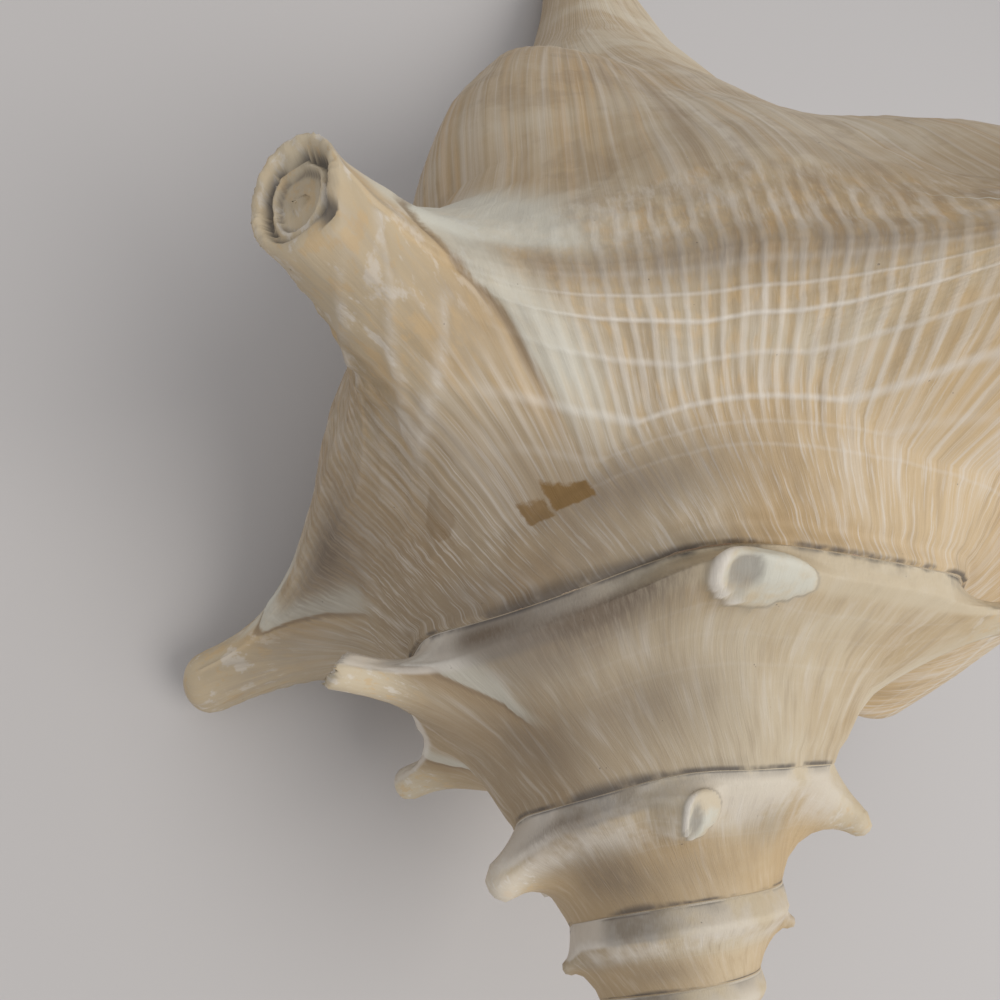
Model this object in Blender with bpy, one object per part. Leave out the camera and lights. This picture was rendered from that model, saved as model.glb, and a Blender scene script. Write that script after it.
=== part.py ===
"""Spined conch shell, resting aperture down, as one closed solid.

The shell is a helical band. At every growth angle a profile runs from the suture over the
shoulder ramp to the keel and down the side, and the band winds from the apex to the lip.
Spines are raised on the keel, and the mouth opens into a curved hollow round the columella.

Shell frame used by the profile functions: radius and depth below the apex, both measured in
suture radii. In the finished part X points to the lip side, Y runs from apex to canal and Z is up.
"""

import math

import bmesh
import bpy
import numpy as np

# Driving dimensions, in metres and degrees
SUTURE_RADIUS = 0.038          # radius of the last suture on the shell's back: the unit of all ratios
REST_PITCH = -11.5             # turn about X that lays the shell on its canal, lip and belly
REST_ROLL = -27.5              # turn about Y that does the same

# Growth law: logarithm of suture radius and depth as polynomials of the growth turn
RADIUS_LAW = (0.0, 0.66, 0.067)
DEPTH_LAW = (0.484, 0.333, 0.012)
TIP_TURN = -3.0                # older whorls follow a plain cone from here
TIP_DECAY = 0.045
FIRST_TURN = -6.3
APEX_HEIGHT = 0.8              # height of the cone that closes the first turn, in its radii
LIP_TURN = 0.36

# Mesh density
COLUMNS_PER_TURN = 96
RAMP_ROWS = 8
WALL_ROWS = 2
SIDE_ROWS = 20
RIM_ROWS = 2
CAVITY_COLUMNS = 50
TRIANGLE_TARGET = 9600

# Body whorl
KEEL_RADIUS = ((-0.68, 1.83), (-0.50, 1.50), (-0.28, 1.47), (-0.13, 1.45), (0.00, 1.53), (0.15, 1.56),
               (0.36, 1.60))
KEEL_DEPTH = ((-0.68, 0.64), (-0.50, 0.52), (-0.28, 0.47), (-0.10, 0.50), (0.02, 0.48), (0.15, 0.46),
              (0.36, 0.40))
KEEL_START = -0.95             # growth turn where the free keel starts to leave the covered one
KEEL_BLEND = 0.27
COVERED_INSET = 0.05           # a covered keel stands this far inside the next suture
COVERED_RAISE = 0.13
WALL_START = -0.66             # growth turn where the side starts to run on to the canal
WALL_BLEND = 0.20
RAMP_HOLLOW = 0.10             # sag of the ramp below a straight line
HOLLOW_AT_SUTURE = 0.6         # share of that sag beside the suture
CANAL_DEPTH = 7.0
CANAL_BEND = 0.12              # sideways bend of the canal's end
BEND_START = 4.0
CANAL_TIP = 0.10               # height of the cone that closes the canal's end
SIDE_SHAPE = ((0.0, 1.0), (0.078, 0.968), (0.18, 0.868), (0.283, 0.735), (0.385, 0.61), (0.488, 0.49),
              (0.59, 0.375), (0.693, 0.28), (0.795, 0.22), (0.898, 0.185), (1.0, 0.15))

# Lip
FLARE_START = 0.10
LIP_PROFILE = ((0.0, 1.25, 1.80), (0.35, 1.75, 1.68), (0.7, 2.30, 1.78), (1.0, 2.62, 2.0), (1.35, 2.80, 2.7),
               (1.7, 2.80, 3.5), (2.0, 2.66, 4.2), (2.3, 2.30, 4.95), (2.55, 1.75, 5.5), (2.7, 1.30, 5.85),
               (2.85, 0.85, 6.5), (3.0, 0.42, 7.05))
LIP_WALL = 0.20                # thickness of the lip
LIP_SWELL = 0.45               # roundness of the lip's edge

# Hollow
WALL = 0.11                    # wall thickness over the hollow
WALL_THINS_BY = 0.35           # share of the hollow's run in which the lip's wall thins to it
MOST_WALL = 0.62               # a wall never takes more than this share of the room to the columella
CAVITY_TURNS = 0.62
CAVITY_TOP_ROW = 0.06
CAVITY_LOW_ROW = 2.97
CANAL_ROW = 3.0
FACING_ROW = 2.02              # first row of the columella that faces the hollow
CAVITY_RISE = 0.42             # how far the hollow's low end climbs inwards, in rows
CAVITY_RISES_BY = 0.6
CLOSING_START = 0.8            # share of the run from which the hollow narrows to its end
CLOSING = 0.85

# Spines: growth angle in degrees and whorl, row, length, lean down the axis, sweep forward,
# half width in degrees, half height, tip radius, mouth depth
SPINES = (
    (-26, 0, 1.00, 0.56, 0.12, -0.05, 28, 0.66, 0.130, 0.12),
    (-98, 0, 0.98, 0.58, -0.15, 0.00, 34, 0.62, 0.115, 0.05),
    (36, 0, 1.00, 0.55, 0.10, 0.00, 28, 0.62, 0.130, 0.06),
    (100, 0, 1.00, 0.16, 0.00, 0.00, 22, 0.50, 0.110, 0.03),
    (-64, -1, 0.95, 0.30, 0.03, 0.00, 24, 0.55, 0.065, 0.06),
    (4, -1, 1.02, 0.10, -0.01, 0.00, 20, 0.45, 0.075, 0.02),
    (-119, -1, 0.95, 0.33, -0.03, 0.00, 24, 0.55, 0.055, 0.03),
    (70, -1, 0.95, 0.26, 0.00, 0.00, 22, 0.55, 0.055, 0.03),
    (-184, -1, 0.95, 0.28, 0.00, 0.00, 22, 0.50, 0.050, 0.02),
    (-72, -2, 0.86, 0.11, -0.09, 0.00, 24, 0.55, 0.040, 0.0),
    (2, -2, 0.84, 0.060, -0.03, 0.00, 16, 0.42, 0.040, 0.0),
    (78, -2, 0.88, 0.12, -0.11, 0.00, 22, 0.55, 0.032, 0.0),
    (-140, -2, 0.90, 0.14, -0.03, 0.00, 20, 0.50, 0.030, 0.0),
    (-212, -2, 0.90, 0.15, 0.00, 0.00, 20, 0.50, 0.030, 0.0),
    (-85, -3, 0.80, 0.035, -0.03, 0.00, 22, 0.50, 0.020, 0.0),
    (95, -3, 0.80, 0.035, -0.03, 0.00, 22, 0.50, 0.020, 0.0),
    (-21, 0, 2.06, 0.15, 0.00, 0.00, 26, 0.34, 0.200, -0.05),
    (-96, 0, 2.08, 0.12, 0.00, 0.00, 20, 0.40, 0.160, -0.05),
    (44, 0, 2.08, 0.12, 0.00, 0.00, 20, 0.40, 0.200, -0.05),
)
SUTURE_LIFT = 0.06             # climb of the suture over a covered spine
SUTURE_LIFT_WIDTH = 0.05
LIFT_GROWTH = 0.5              # how much less the suture climbs one whorl earlier
TIP_START = 0.72               # share of a spine's footprint radius that climbs to the tip
FLANK_POWER = 1.25             # hollow of a spine's flanks
MOUTH_STEEPNESS = 1.6
WALL_REACH = 0.35              # height of the wall and of the side, in heights of the ramp
SIDE_REACH = 4.0


def interpolate(table, value):
    """Read a smooth curve through table's (place, value) pairs."""
    places = np.array([row[0] for row in table])
    values = np.array([row[1] for row in table])
    slopes = np.gradient(values, places)
    index = np.clip(np.searchsorted(places, value, side="right") - 1, 0, len(places) - 2)
    width = places[index + 1] - places[index]
    u = np.clip((value - places[index]) / width, 0.0, 1.0)
    start = (1 + 2 * u) * (1 - u) ** 2 * values[index] + u * (1 - u) ** 2 * width * slopes[index]
    end = u * u * (3 - 2 * u) * values[index + 1] + u * u * (u - 1) * width * slopes[index + 1]
    return start + end


def ease(value):
    """Smooth step from 0 to 1."""
    value = np.clip(value, 0.0, 1.0)
    return value * value * (3.0 - 2.0 * value)


def smooth_suture(turn):
    """Radius and depth of the suture's plain spiral at a growth turn."""
    radius = np.exp(np.polynomial.polynomial.polyval(turn, RADIUS_LAW))
    depth = np.exp(np.polynomial.polynomial.polyval(turn, DEPTH_LAW))
    tip_radius = math.exp(np.polynomial.polynomial.polyval(TIP_TURN, RADIUS_LAW))
    tip_depth = math.exp(np.polynomial.polynomial.polyval(TIP_TURN, DEPTH_LAW))
    growth = RADIUS_LAW[1] + 2 * RADIUS_LAW[2] * TIP_TURN
    slope = (DEPTH_LAW[1] + 2 * DEPTH_LAW[2] * TIP_TURN) * tip_depth / (growth * tip_radius)
    back = turn - TIP_TURN
    old_radius = tip_radius * np.exp(growth * back - TIP_DECAY * back * back)
    old_depth = tip_depth - (tip_radius - old_radius) * slope
    is_old = turn < TIP_TURN
    return np.where(is_old, old_radius, radius), np.where(is_old, old_depth, depth)


def suture(turn):
    """Radius and depth of the suture, which climbs over the spines of the whorl before."""
    radius, depth = smooth_suture(turn)
    for spine in SPINES:
        if spine[1] < 0:
            offset = (turn - 1.0 - spine[0] / 360.0 - spine[1]) / SUTURE_LIFT_WIDTH
            lift = SUTURE_LIFT * LIFT_GROWTH ** (-1 - spine[1])
            depth = depth + lift * radius * np.exp(-offset * offset)
    return radius, depth


def keel(turn):
    """Radius and depth of the shoulder keel between spines."""
    radius, depth = suture(turn)
    next_radius, next_depth = suture(turn + 1.0)
    body = ease((turn - KEEL_START) / KEEL_BLEND)
    covered_radius = next_radius - COVERED_INSET * radius
    covered_depth = next_depth - COVERED_RAISE * radius
    free_radius = interpolate(KEEL_RADIUS, turn) * radius
    free_depth = depth + interpolate(KEEL_DEPTH, turn) * radius
    keel_radius = covered_radius + (free_radius - covered_radius) * body
    keel_depth = covered_depth + (free_depth - covered_depth) * body
    return keel_radius, keel_depth


def lip_flare(turn):
    """How far the profile has opened into the lip, from 0 to 1."""
    return np.clip((turn - FLARE_START) / (LIP_TURN - FLARE_START), 0.0, 1.0) ** 2


def profile(turn, row):
    """Radius and depth of the outer surface.

    Row 0 is the suture, 1 the keel, 2 the next suture and 3 the canal.
    """
    radius, depth = suture(turn)
    keel_radius, keel_depth = keel(turn)
    next_radius, next_depth = suture(turn + 1.0)
    side_start, side_share = SIDE_SHAPE[1]
    body = ease((turn - WALL_START) / WALL_BLEND)
    wall_radius = next_radius * (1 - body) + side_share * keel_radius * body
    wall_depth = next_depth * (1 - body) + (keel_depth + side_start * (CANAL_DEPTH - keel_depth)) * body
    ramp = np.clip(row, 0.0, 1.0)
    wall = np.clip(row - 1.0, 0.0, 1.0)
    side = np.clip(row - 2.0, 0.0, 1.0)
    sag = RAMP_HOLLOW * np.sin(math.pi * ramp) * (HOLLOW_AT_SUTURE + (1 - HOLLOW_AT_SUTURE) * ramp)
    r = radius + (keel_radius - radius) * ramp - sag * (keel_depth - depth)
    s = depth + (keel_depth - depth) * ramp + sag * (keel_radius - radius)
    r = r + (wall_radius - keel_radius) * wall
    s = s + (wall_depth - keel_depth) * wall
    place = side_start + (1 - side_start) * side
    side_radius = wall_radius * interpolate(SIDE_SHAPE, place) / side_share
    side_depth = wall_depth + (CANAL_DEPTH - wall_depth) * side
    r = np.where(row > 2.0, side_radius, r)
    s = np.where(row > 2.0, side_depth, s)
    flare = lip_flare(turn)
    lip_radius = interpolate([(p[0], p[1]) for p in LIP_PROFILE], row)
    lip_depth = interpolate([(p[0], p[2]) for p in LIP_PROFILE], row)
    return r + (lip_radius - r) * flare, s + (lip_depth - s) * flare


def to_space(turn, radius, depth):
    """Points in the shell's upright frame: X to the lip side, Y to the canal, Z to the back."""
    angle = 2 * math.pi * turn
    bend = CANAL_BEND * ease((depth - BEND_START) / (CANAL_DEPTH - BEND_START))
    sideways = radius * np.sin(angle) + bend
    return np.stack(np.broadcast_arrays(sideways, depth, radius * np.cos(angle)), axis=-1)


def reach_along(row):
    """Place down the profile, in heights of the ramp."""
    return np.clip(row, 0, 1) + WALL_REACH * np.clip(row - 1, 0, 1) + SIDE_REACH * np.clip(row - 2, 0, 1)


def raise_spines(points, turn, row):
    """Pull the surface out into the shoulder spines."""
    for degrees, whorl, centre_row, length, lean, sweep, half_width, half_height, tip, mouth in SPINES:
        centre_turn = degrees / 360.0 + whorl
        across = (turn - centre_turn) / (half_width / 360.0)
        along = reach_along(row) - reach_along(centre_row)
        lower_height = half_height if whorl == 0 else 1.0 + WALL_REACH - reach_along(centre_row)
        along = along / np.where(along < 0, half_height, lower_height)
        reach = np.hypot(across, along)
        inside = reach < 1.0
        if not inside.any():
            continue
        base = to_space(centre_turn, *profile(np.array(centre_turn), np.array(centre_row)))
        angle = 2 * math.pi * centre_turn
        outward = np.array((math.sin(angle), 0.0, math.cos(angle)))
        forward = np.array((math.cos(angle), 0.0, -math.sin(angle)))
        axis = outward * length + forward * sweep + np.array((0.0, lean, 0.0))
        height = np.linalg.norm(axis)
        axis = axis / height
        climb = 1.0 - reach[inside]
        rise = np.clip(climb / TIP_START, 0.0, 1.0)
        flank = points[inside] - base
        along_axis = flank @ axis
        lateral = flank - along_axis[:, None] * axis
        spread = np.linalg.norm(lateral, axis=1) + 1e-9
        keep = (1.0 - rise) ** 2
        rim = tip * np.minimum(1.0, (1.0 - climb) / (1.0 - TIP_START))
        width = rim * (1.0 - keep) + spread * keep
        dimple = mouth * ease((climb - TIP_START) / (1.0 - TIP_START) * MOUTH_STEEPNESS)
        top = height * rise ** FLANK_POWER - dimple + along_axis * keep
        points[inside] = base + lateral * (width / spread)[:, None] + axis * top[:, None]
    return points


def outer_surface(turn, row):
    """Outer surface points with their spines."""
    points = to_space(turn, *profile(turn, row))
    return raise_spines(points, turn, row)


class MeshDraft:
    """Vertices and faces while the shell's patches are joined."""

    def __init__(self):
        self.points = []
        self.faces = []

    def add(self, point):
        """Add one vertex and give its number."""
        self.points.append(tuple(float(value) for value in point))
        return len(self.points) - 1

    def patch(self, first, second):
        """Join two equally long columns of vertices by quads."""
        for a, b, c, d in zip(first, second, second[1:], first[1:]):
            corners = list(dict.fromkeys((a, b, c, d)))
            if len(corners) > 2:
                self.faces.append(corners)

    def zip_chains(self, first, second):
        """Join two chains of different lengths by triangles."""
        i = j = 0
        while i < len(first) - 1 or j < len(second) - 1:
            step_first = (i + 1) / max(1, len(first) - 1)
            step_second = (j + 1) / max(1, len(second) - 1)
            if j == len(second) - 1 or (i < len(first) - 1 and step_first <= step_second):
                self.faces.append([first[i], second[j], first[i + 1]])
                i += 1
            else:
                self.faces.append([first[i], second[j], second[j + 1]])
                j += 1


def row_places():
    """Rows from suture to canal, with the number of the row on the next suture."""
    ramp = np.linspace(0.0, 1.0, RAMP_ROWS + 1)
    wall = np.linspace(1.0, 2.0, WALL_ROWS + 1)[1:]
    side = np.linspace(2.0, 3.0, SIDE_ROWS + 1)[1:]
    return np.concatenate((ramp, wall, side)), RAMP_ROWS + WALL_ROWS


def add_outer_surface(draft, rows, join_row):
    """Wind the band from the apex to the lip. Gives the vertex numbers of every column."""
    total = int(round((LIP_TURN - FIRST_TURN) * COLUMNS_PER_TURN))
    body_start = total - COLUMNS_PER_TURN
    turns = LIP_TURN - (total - np.arange(total + 1)) / COLUMNS_PER_TURN
    columns = []
    for number, turn in enumerate(turns):
        count = len(rows) if number >= body_start else join_row
        points = outer_surface(np.full(count, turn), rows[:count])
        columns.append([draft.add(point) for point in points])
    for number in range(body_start + 1):
        columns[number][join_row:join_row + 1] = [columns[number + COLUMNS_PER_TURN][0]]
    for first, second in zip(columns, columns[1:]):
        draft.patch(first[:len(second)], second[:len(first)])
    return columns, body_start


def close_apex(draft, columns):
    """Close the first turn with a low cone."""
    ring = [columns[number][0] for number in range(COLUMNS_PER_TURN + 1)]
    ring += columns[0][1:-1][::-1]
    radius, depth = suture(FIRST_TURN)
    tip = draft.add((0.0, depth - APEX_HEIGHT * radius, 0.0))
    for a, b in zip(ring, ring[1:] + ring[:1]):
        draft.faces.append([tip, b, a])


def cavity_column(turn, rows, join_row):
    """Outer and inner points of the hollow at one growth angle."""
    deep = (LIP_TURN - turn) / CAVITY_TURNS
    wall = WALL + (LIP_WALL - WALL) * ease(1.0 - deep / WALL_THINS_BY)
    low_end = CAVITY_LOW_ROW - CAVITY_RISE * ease(deep / CAVITY_RISES_BY)
    inner_rows = 2.0 + (rows[join_row:] - 2.0) * (low_end - 2.0)
    outer_rows = CAVITY_TOP_ROW + rows / CANAL_ROW * (low_end - CAVITY_TOP_ROW)
    outer = np.stack(profile(np.full(len(rows), turn), outer_rows), axis=-1)
    inner = np.stack(profile(np.full(len(inner_rows), turn - 1.0), inner_rows), axis=-1)
    facing_row = FACING_ROW + (low_end - FACING_ROW) * ease(outer_rows / low_end)
    facing = np.stack(profile(np.full(len(rows), turn - 1.0), facing_row), axis=-1)
    gap = facing - outer
    distance = np.linalg.norm(gap, axis=1, keepdims=True)
    outer = outer + gap * np.minimum(wall / distance, MOST_WALL)
    closing = ease((deep - CLOSING_START) / (1.0 - CLOSING_START)) * CLOSING
    middle = (outer + facing) / 2
    outer = outer + (middle - outer) * closing
    target = np.stack([np.interp(inner_rows, facing_row, middle[:, part]) for part in (0, 1)], axis=-1)
    inner = inner + (target - inner) * closing
    return to_space(turn, outer[:, 0], outer[:, 1]), to_space(turn, inner[:, 0], inner[:, 1])


def add_mouth(draft, columns, body_start, rows, join_row):
    """Round the lip's edge and sink the curved hollow between outer wall and columella."""
    lip_edge = columns[-1]
    parietal = columns[body_start][join_row:]
    outer_chains = []
    inner_chains = []
    for step in range(CAVITY_COLUMNS + 1):
        turn = LIP_TURN - CAVITY_TURNS * step / CAVITY_COLUMNS
        outer, inner = cavity_column(turn, rows, join_row)
        outer_chains.append([draft.add(point) for point in outer])
        inner_chains.append(parietal if step == 0 else [draft.add(point) for point in inner])
    rim_chains = [lip_edge]
    edge_points = np.array([draft.points[number] for number in lip_edge])
    hollow_points = np.array([draft.points[number] for number in outer_chains[0]])
    lip_angle = 2 * math.pi * LIP_TURN
    forward = np.array((math.cos(lip_angle), 0.0, -math.sin(lip_angle)))
    for step in range(1, RIM_ROWS + 1):
        share = step / (RIM_ROWS + 1)
        swell = LIP_SWELL * LIP_WALL * math.sin(math.pi * share)
        ring = edge_points + (hollow_points - edge_points) * share
        size = np.linalg.norm(hollow_points - edge_points, axis=1, keepdims=True) / LIP_WALL
        ring = ring + forward * swell * np.minimum(size, 1.0)
        rim_chains.append([draft.add(point) for point in ring])
    rim_chains.append(outer_chains[0])
    for first, second in zip(rim_chains, rim_chains[1:]):
        draft.patch(first, second)
    draft.faces.append([chain[0] for chain in rim_chains])
    for first, second in zip(outer_chains, outer_chains[1:]):
        draft.patch(first, second)
    for first, second in zip(inner_chains, inner_chains[1:]):
        draft.patch(second, first)
    for step in range(CAVITY_COLUMNS):
        draft.faces.append([outer_chains[step][0], inner_chains[step][0],
                            inner_chains[step + 1][0], outer_chains[step + 1][0]])
        draft.faces.append([outer_chains[step][-1], outer_chains[step + 1][-1],
                            inner_chains[step + 1][-1], inner_chains[step][-1]])
    draft.zip_chains(inner_chains[-1], outer_chains[-1])
    return rim_chains


def close_canal(draft, columns, body_start, rim_chains):
    """Close the canal's end with a low cone and join it to the mouth."""
    ring = [column[-1] for column in columns[body_start:]]
    centre = np.mean([draft.points[number] for number in ring], axis=0)
    tip = draft.add(centre + np.array((0.0, CANAL_TIP, 0.0)))
    for a, b in zip(ring, ring[1:]):
        draft.faces.append([tip, a, b])
    draft.faces.append([tip, ring[-1], ring[0]])
    draft.faces.append([chain[-1] for chain in rim_chains] + [ring[0]])


def shell_material():
    """Weathered cream and tan shell."""
    material = bpy.data.materials.new("weathered_shell")
    material.use_nodes = True
    shader = material.node_tree.nodes["Principled BSDF"]
    shader.inputs["Base Color"].default_value = (0.62, 0.52, 0.40, 1.0)
    shader.inputs["Roughness"].default_value = 0.45
    shader.inputs["Metallic"].default_value = 0.0
    return material


def rest_on_ground(points):
    """Turn the shell onto its resting points and put the box's bottom centre at the origin."""
    pitch = math.radians(REST_PITCH)
    roll = math.radians(REST_ROLL)
    about_x = np.array(((1, 0, 0),
                        (0, math.cos(pitch), -math.sin(pitch)),
                        (0, math.sin(pitch), math.cos(pitch))))
    about_y = np.array(((math.cos(roll), 0, math.sin(roll)),
                        (0, 1, 0),
                        (-math.sin(roll), 0, math.cos(roll))))
    turned = points @ about_y.T @ about_x.T * SUTURE_RADIUS
    low = turned.min(axis=0)
    high = turned.max(axis=0)
    return turned - np.array(((low[0] + high[0]) / 2, (low[1] + high[1]) / 2, low[2]))


def draft_shell():
    """Join the outer surface, apex, mouth and canal into one closed draft."""
    draft = MeshDraft()
    rows, join_row = row_places()
    columns, body_start = add_outer_surface(draft, rows, join_row)
    close_apex(draft, columns)
    rim_chains = add_mouth(draft, columns, body_start, rows, join_row)
    close_canal(draft, columns, body_start, rim_chains)
    return draft


def build_shell():
    """Make the shell object."""
    draft = draft_shell()
    points = rest_on_ground(np.array(draft.points))
    mesh = bpy.data.meshes.new("shell")
    mesh.from_pydata([tuple(point) for point in points], [], draft.faces)
    body = bmesh.new()
    body.from_mesh(mesh)
    loose = [vertex for vertex in body.verts if not vertex.link_faces]
    bmesh.ops.delete(body, geom=loose, context="VERTS")
    bmesh.ops.triangulate(body, faces=body.faces)
    bmesh.ops.recalc_face_normals(body, faces=body.faces)
    body.to_mesh(mesh)
    triangles = len(body.faces)
    body.free()
    mesh.shade_smooth()
    shell = bpy.data.objects.new("shell", mesh)
    shell.data.materials.append(shell_material())
    bpy.context.scene.collection.objects.link(shell)
    if triangles > TRIANGLE_TARGET:
        lighten = shell.modifiers.new("lighten", "DECIMATE")
        lighten.ratio = TRIANGLE_TARGET / triangles
    return shell


def main():
    """Clear the scene and build the shell."""
    for item in list(bpy.data.objects):
        bpy.data.objects.remove(item, do_unlink=True)
    build_shell()


if __name__ == "__main__":
    main()
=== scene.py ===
"""Spined conch shell: the sculpted and weathered surface, on a plain floor in soft studio light.

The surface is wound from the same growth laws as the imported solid, on a much finer grid. Relief
is then carved into it, and each vertex keeps its place on the shell, so that the finish can follow
growth lines, spiral cords, seams and spines.

Shell units are the radius of the last suture. The shell's own frame has X to the lip's side,
Y from the apex to the canal and Z to the back. Rows run down the profile: 0 at the suture, 1 at
the keel, 2 at the next suture and 3 at the canal's end.
"""
import logging
import math
from dataclasses import dataclass, field
from enum import Enum
from typing import ClassVar

import bmesh
import bpy
import numpy as np
from mathutils import Matrix, Vector


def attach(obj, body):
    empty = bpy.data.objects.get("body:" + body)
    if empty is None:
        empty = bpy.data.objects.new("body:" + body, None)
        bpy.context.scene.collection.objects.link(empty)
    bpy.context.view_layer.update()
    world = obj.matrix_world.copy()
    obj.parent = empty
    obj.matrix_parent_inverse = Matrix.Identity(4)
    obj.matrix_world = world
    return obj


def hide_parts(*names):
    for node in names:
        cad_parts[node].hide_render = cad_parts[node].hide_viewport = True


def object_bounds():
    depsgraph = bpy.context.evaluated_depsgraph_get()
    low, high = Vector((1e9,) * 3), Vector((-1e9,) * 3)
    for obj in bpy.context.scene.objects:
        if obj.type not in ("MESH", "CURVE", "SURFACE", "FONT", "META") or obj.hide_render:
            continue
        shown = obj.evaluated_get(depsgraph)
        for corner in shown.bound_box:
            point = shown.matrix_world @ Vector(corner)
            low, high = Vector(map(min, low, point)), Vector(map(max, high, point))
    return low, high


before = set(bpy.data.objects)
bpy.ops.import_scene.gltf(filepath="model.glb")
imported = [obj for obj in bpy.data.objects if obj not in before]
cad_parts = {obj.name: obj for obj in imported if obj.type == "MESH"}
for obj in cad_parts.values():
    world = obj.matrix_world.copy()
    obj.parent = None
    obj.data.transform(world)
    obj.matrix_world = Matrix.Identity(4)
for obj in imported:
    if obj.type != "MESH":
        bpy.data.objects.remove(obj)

LOG = logging.getLogger("conch")
CAD_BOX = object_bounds()
UNIT = 0.038                       # metres in one shell unit
SMALL = 1e-9
SAME_TURN = 1e-6                   # growth turns closer than this are one
Array = np.ndarray
Table = tuple[tuple[float, ...], ...]
Curve = Table                      # of (place, value) pairs, in order of place
Triple = tuple[float, float, float]
Colour = Triple


# ---------------------------------------------------------------- curves and noise

def curve_through(table: Curve, value: Array) -> Array:
    """Read a smooth curve through (place, value) pairs.

    Args:
        table: the pairs, in order of place.
        value: the places to read.

    Returns:
        The curve's values there.
    """
    places = np.array([row[0] for row in table])
    values = np.array([row[1] for row in table])
    slopes = np.gradient(values, places)
    index = np.clip(np.searchsorted(places, value, side="right") - 1, 0, len(places) - 2)
    width = places[index + 1] - places[index]
    part = np.clip((value - places[index]) / width, 0.0, 1.0)
    rest = 1 - part
    start = rest ** 2 * ((1 + 2 * part) * values[index] + part * width * slopes[index])
    end = part ** 2 * ((3 - 2 * part) * values[index + 1] - rest * width * slopes[index + 1])
    return start + end


def ease(value: Array | float) -> Array:
    """Smooth step from 0 to 1."""
    value = np.clip(value, 0.0, 1.0)
    return value * value * (3.0 - 2.0 * value)


def bump_at(value: Array, centre: float, width: float) -> Array:
    """Rounded hill of height 1 and the given half width."""
    return np.exp(-((value - centre) / width) ** 2)


def link_object(name: str, data: bpy.types.ID) -> bpy.types.Object:
    """Put a new object into the scene."""
    thing = bpy.data.objects.new(name, data)
    bpy.context.scene.collection.objects.link(thing)
    return thing


@dataclass(frozen=True)
class Noise:
    """Smooth repeatable noise from a table of seeded numbers."""

    seed: int = 7
    size: int = 64

    def table(self) -> Array:
        """The table of numbers between -1 and 1."""
        return np.random.default_rng(self.seed).uniform(-1.0, 1.0, (self.size,) * 3)

    def __call__(self, points: Array, scale: float) -> Array:
        """Noise at points.

        Args:
            points: places, three numbers each.
            scale: lumps per unit of length.

        Returns:
            One value from -1 to 1 for each point.
        """
        table = self.table()
        place = points * scale
        low = np.floor(place).astype(int)
        part = ease(place - low)
        total = np.zeros(len(points))
        for corner in np.ndindex(2, 2, 2):
            weight = np.prod([part[:, k] if corner[k] else 1 - part[:, k] for k in range(3)], axis=0)
            cell = (low + corner) % self.size
            total += weight * table[cell[:, 0], cell[:, 1], cell[:, 2]]
        return total

    def plane(self, first: Array, second: Array) -> Array:
        """Noise on a plane of two places, one lump to each unit."""
        return self(np.stack((first, second, np.zeros(len(first))), axis=-1), 1.0)


# ---------------------------------------------------------------- spines

class TipForm(Enum):
    """How a spine ends."""

    ROUND = "round"
    RINGED = "ringed"              # a worn mouth with a second ring inside
    PIPE = "pipe"                  # a plain open hole
    WORN = "worn"                  # ground down to a scar
    KNOB = "knob"                  # a low rounded hump


@dataclass(frozen=True)
class Spine:
    """One spine or knob on the growing edge, in degrees and shell units."""

    degrees: float                 # growth angle of its middle
    whorl: int                     # 0 on the body whorl, -1 on the whorl before it
    row: float
    length: float
    lean: float                    # of its tip, towards the canal
    half_width: float              # of its foot, in degrees
    half_height: float             # of its foot, in ramp heights
    tip: float = 0.0               # radius of its tip, where it has one
    sweep: float = 0.0             # of its tip, towards the growing edge
    mouth: float = 0.0             # depth of the tip's end face
    seam: Curve = ()               # (row, degrees ahead) of the seam on its leading side
    form: TipForm = TipForm.ROUND
    tilt: float = 0.0              # slope of the tip's face towards the apex
    taper: float = 2.0             # how soon the foot narrows to the tip's width
    folds: tuple[Curve, ...] = ()  # (degrees ahead, row) of the folds across its face
    web: float = 0.0               # how much fuller its foot is towards the canal

    @property
    def turn(self) -> float:
        """Growth turn of the spine's middle."""
        return self.degrees / 360.0 + self.whorl

    @property
    def has_tip(self) -> bool:
        """Whether it stands out far enough to have a tip."""
        return self.form not in (TipForm.KNOB, TipForm.WORN)

    def axis(self) -> tuple[Array, float]:
        """Direction in which the spine stands.

        Returns:
            A unit vector along the spine, and the spine's length.
        """
        angle = 2 * math.pi * self.turn
        outward = np.array((math.sin(angle), 0.0, math.cos(angle)))
        forward = np.array((math.cos(angle), 0.0, -math.sin(angle)))
        axis = outward * self.length + forward * self.sweep + np.array((0.0, self.lean, 0.0))
        height = float(np.linalg.norm(axis))
        return axis / height, height


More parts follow.
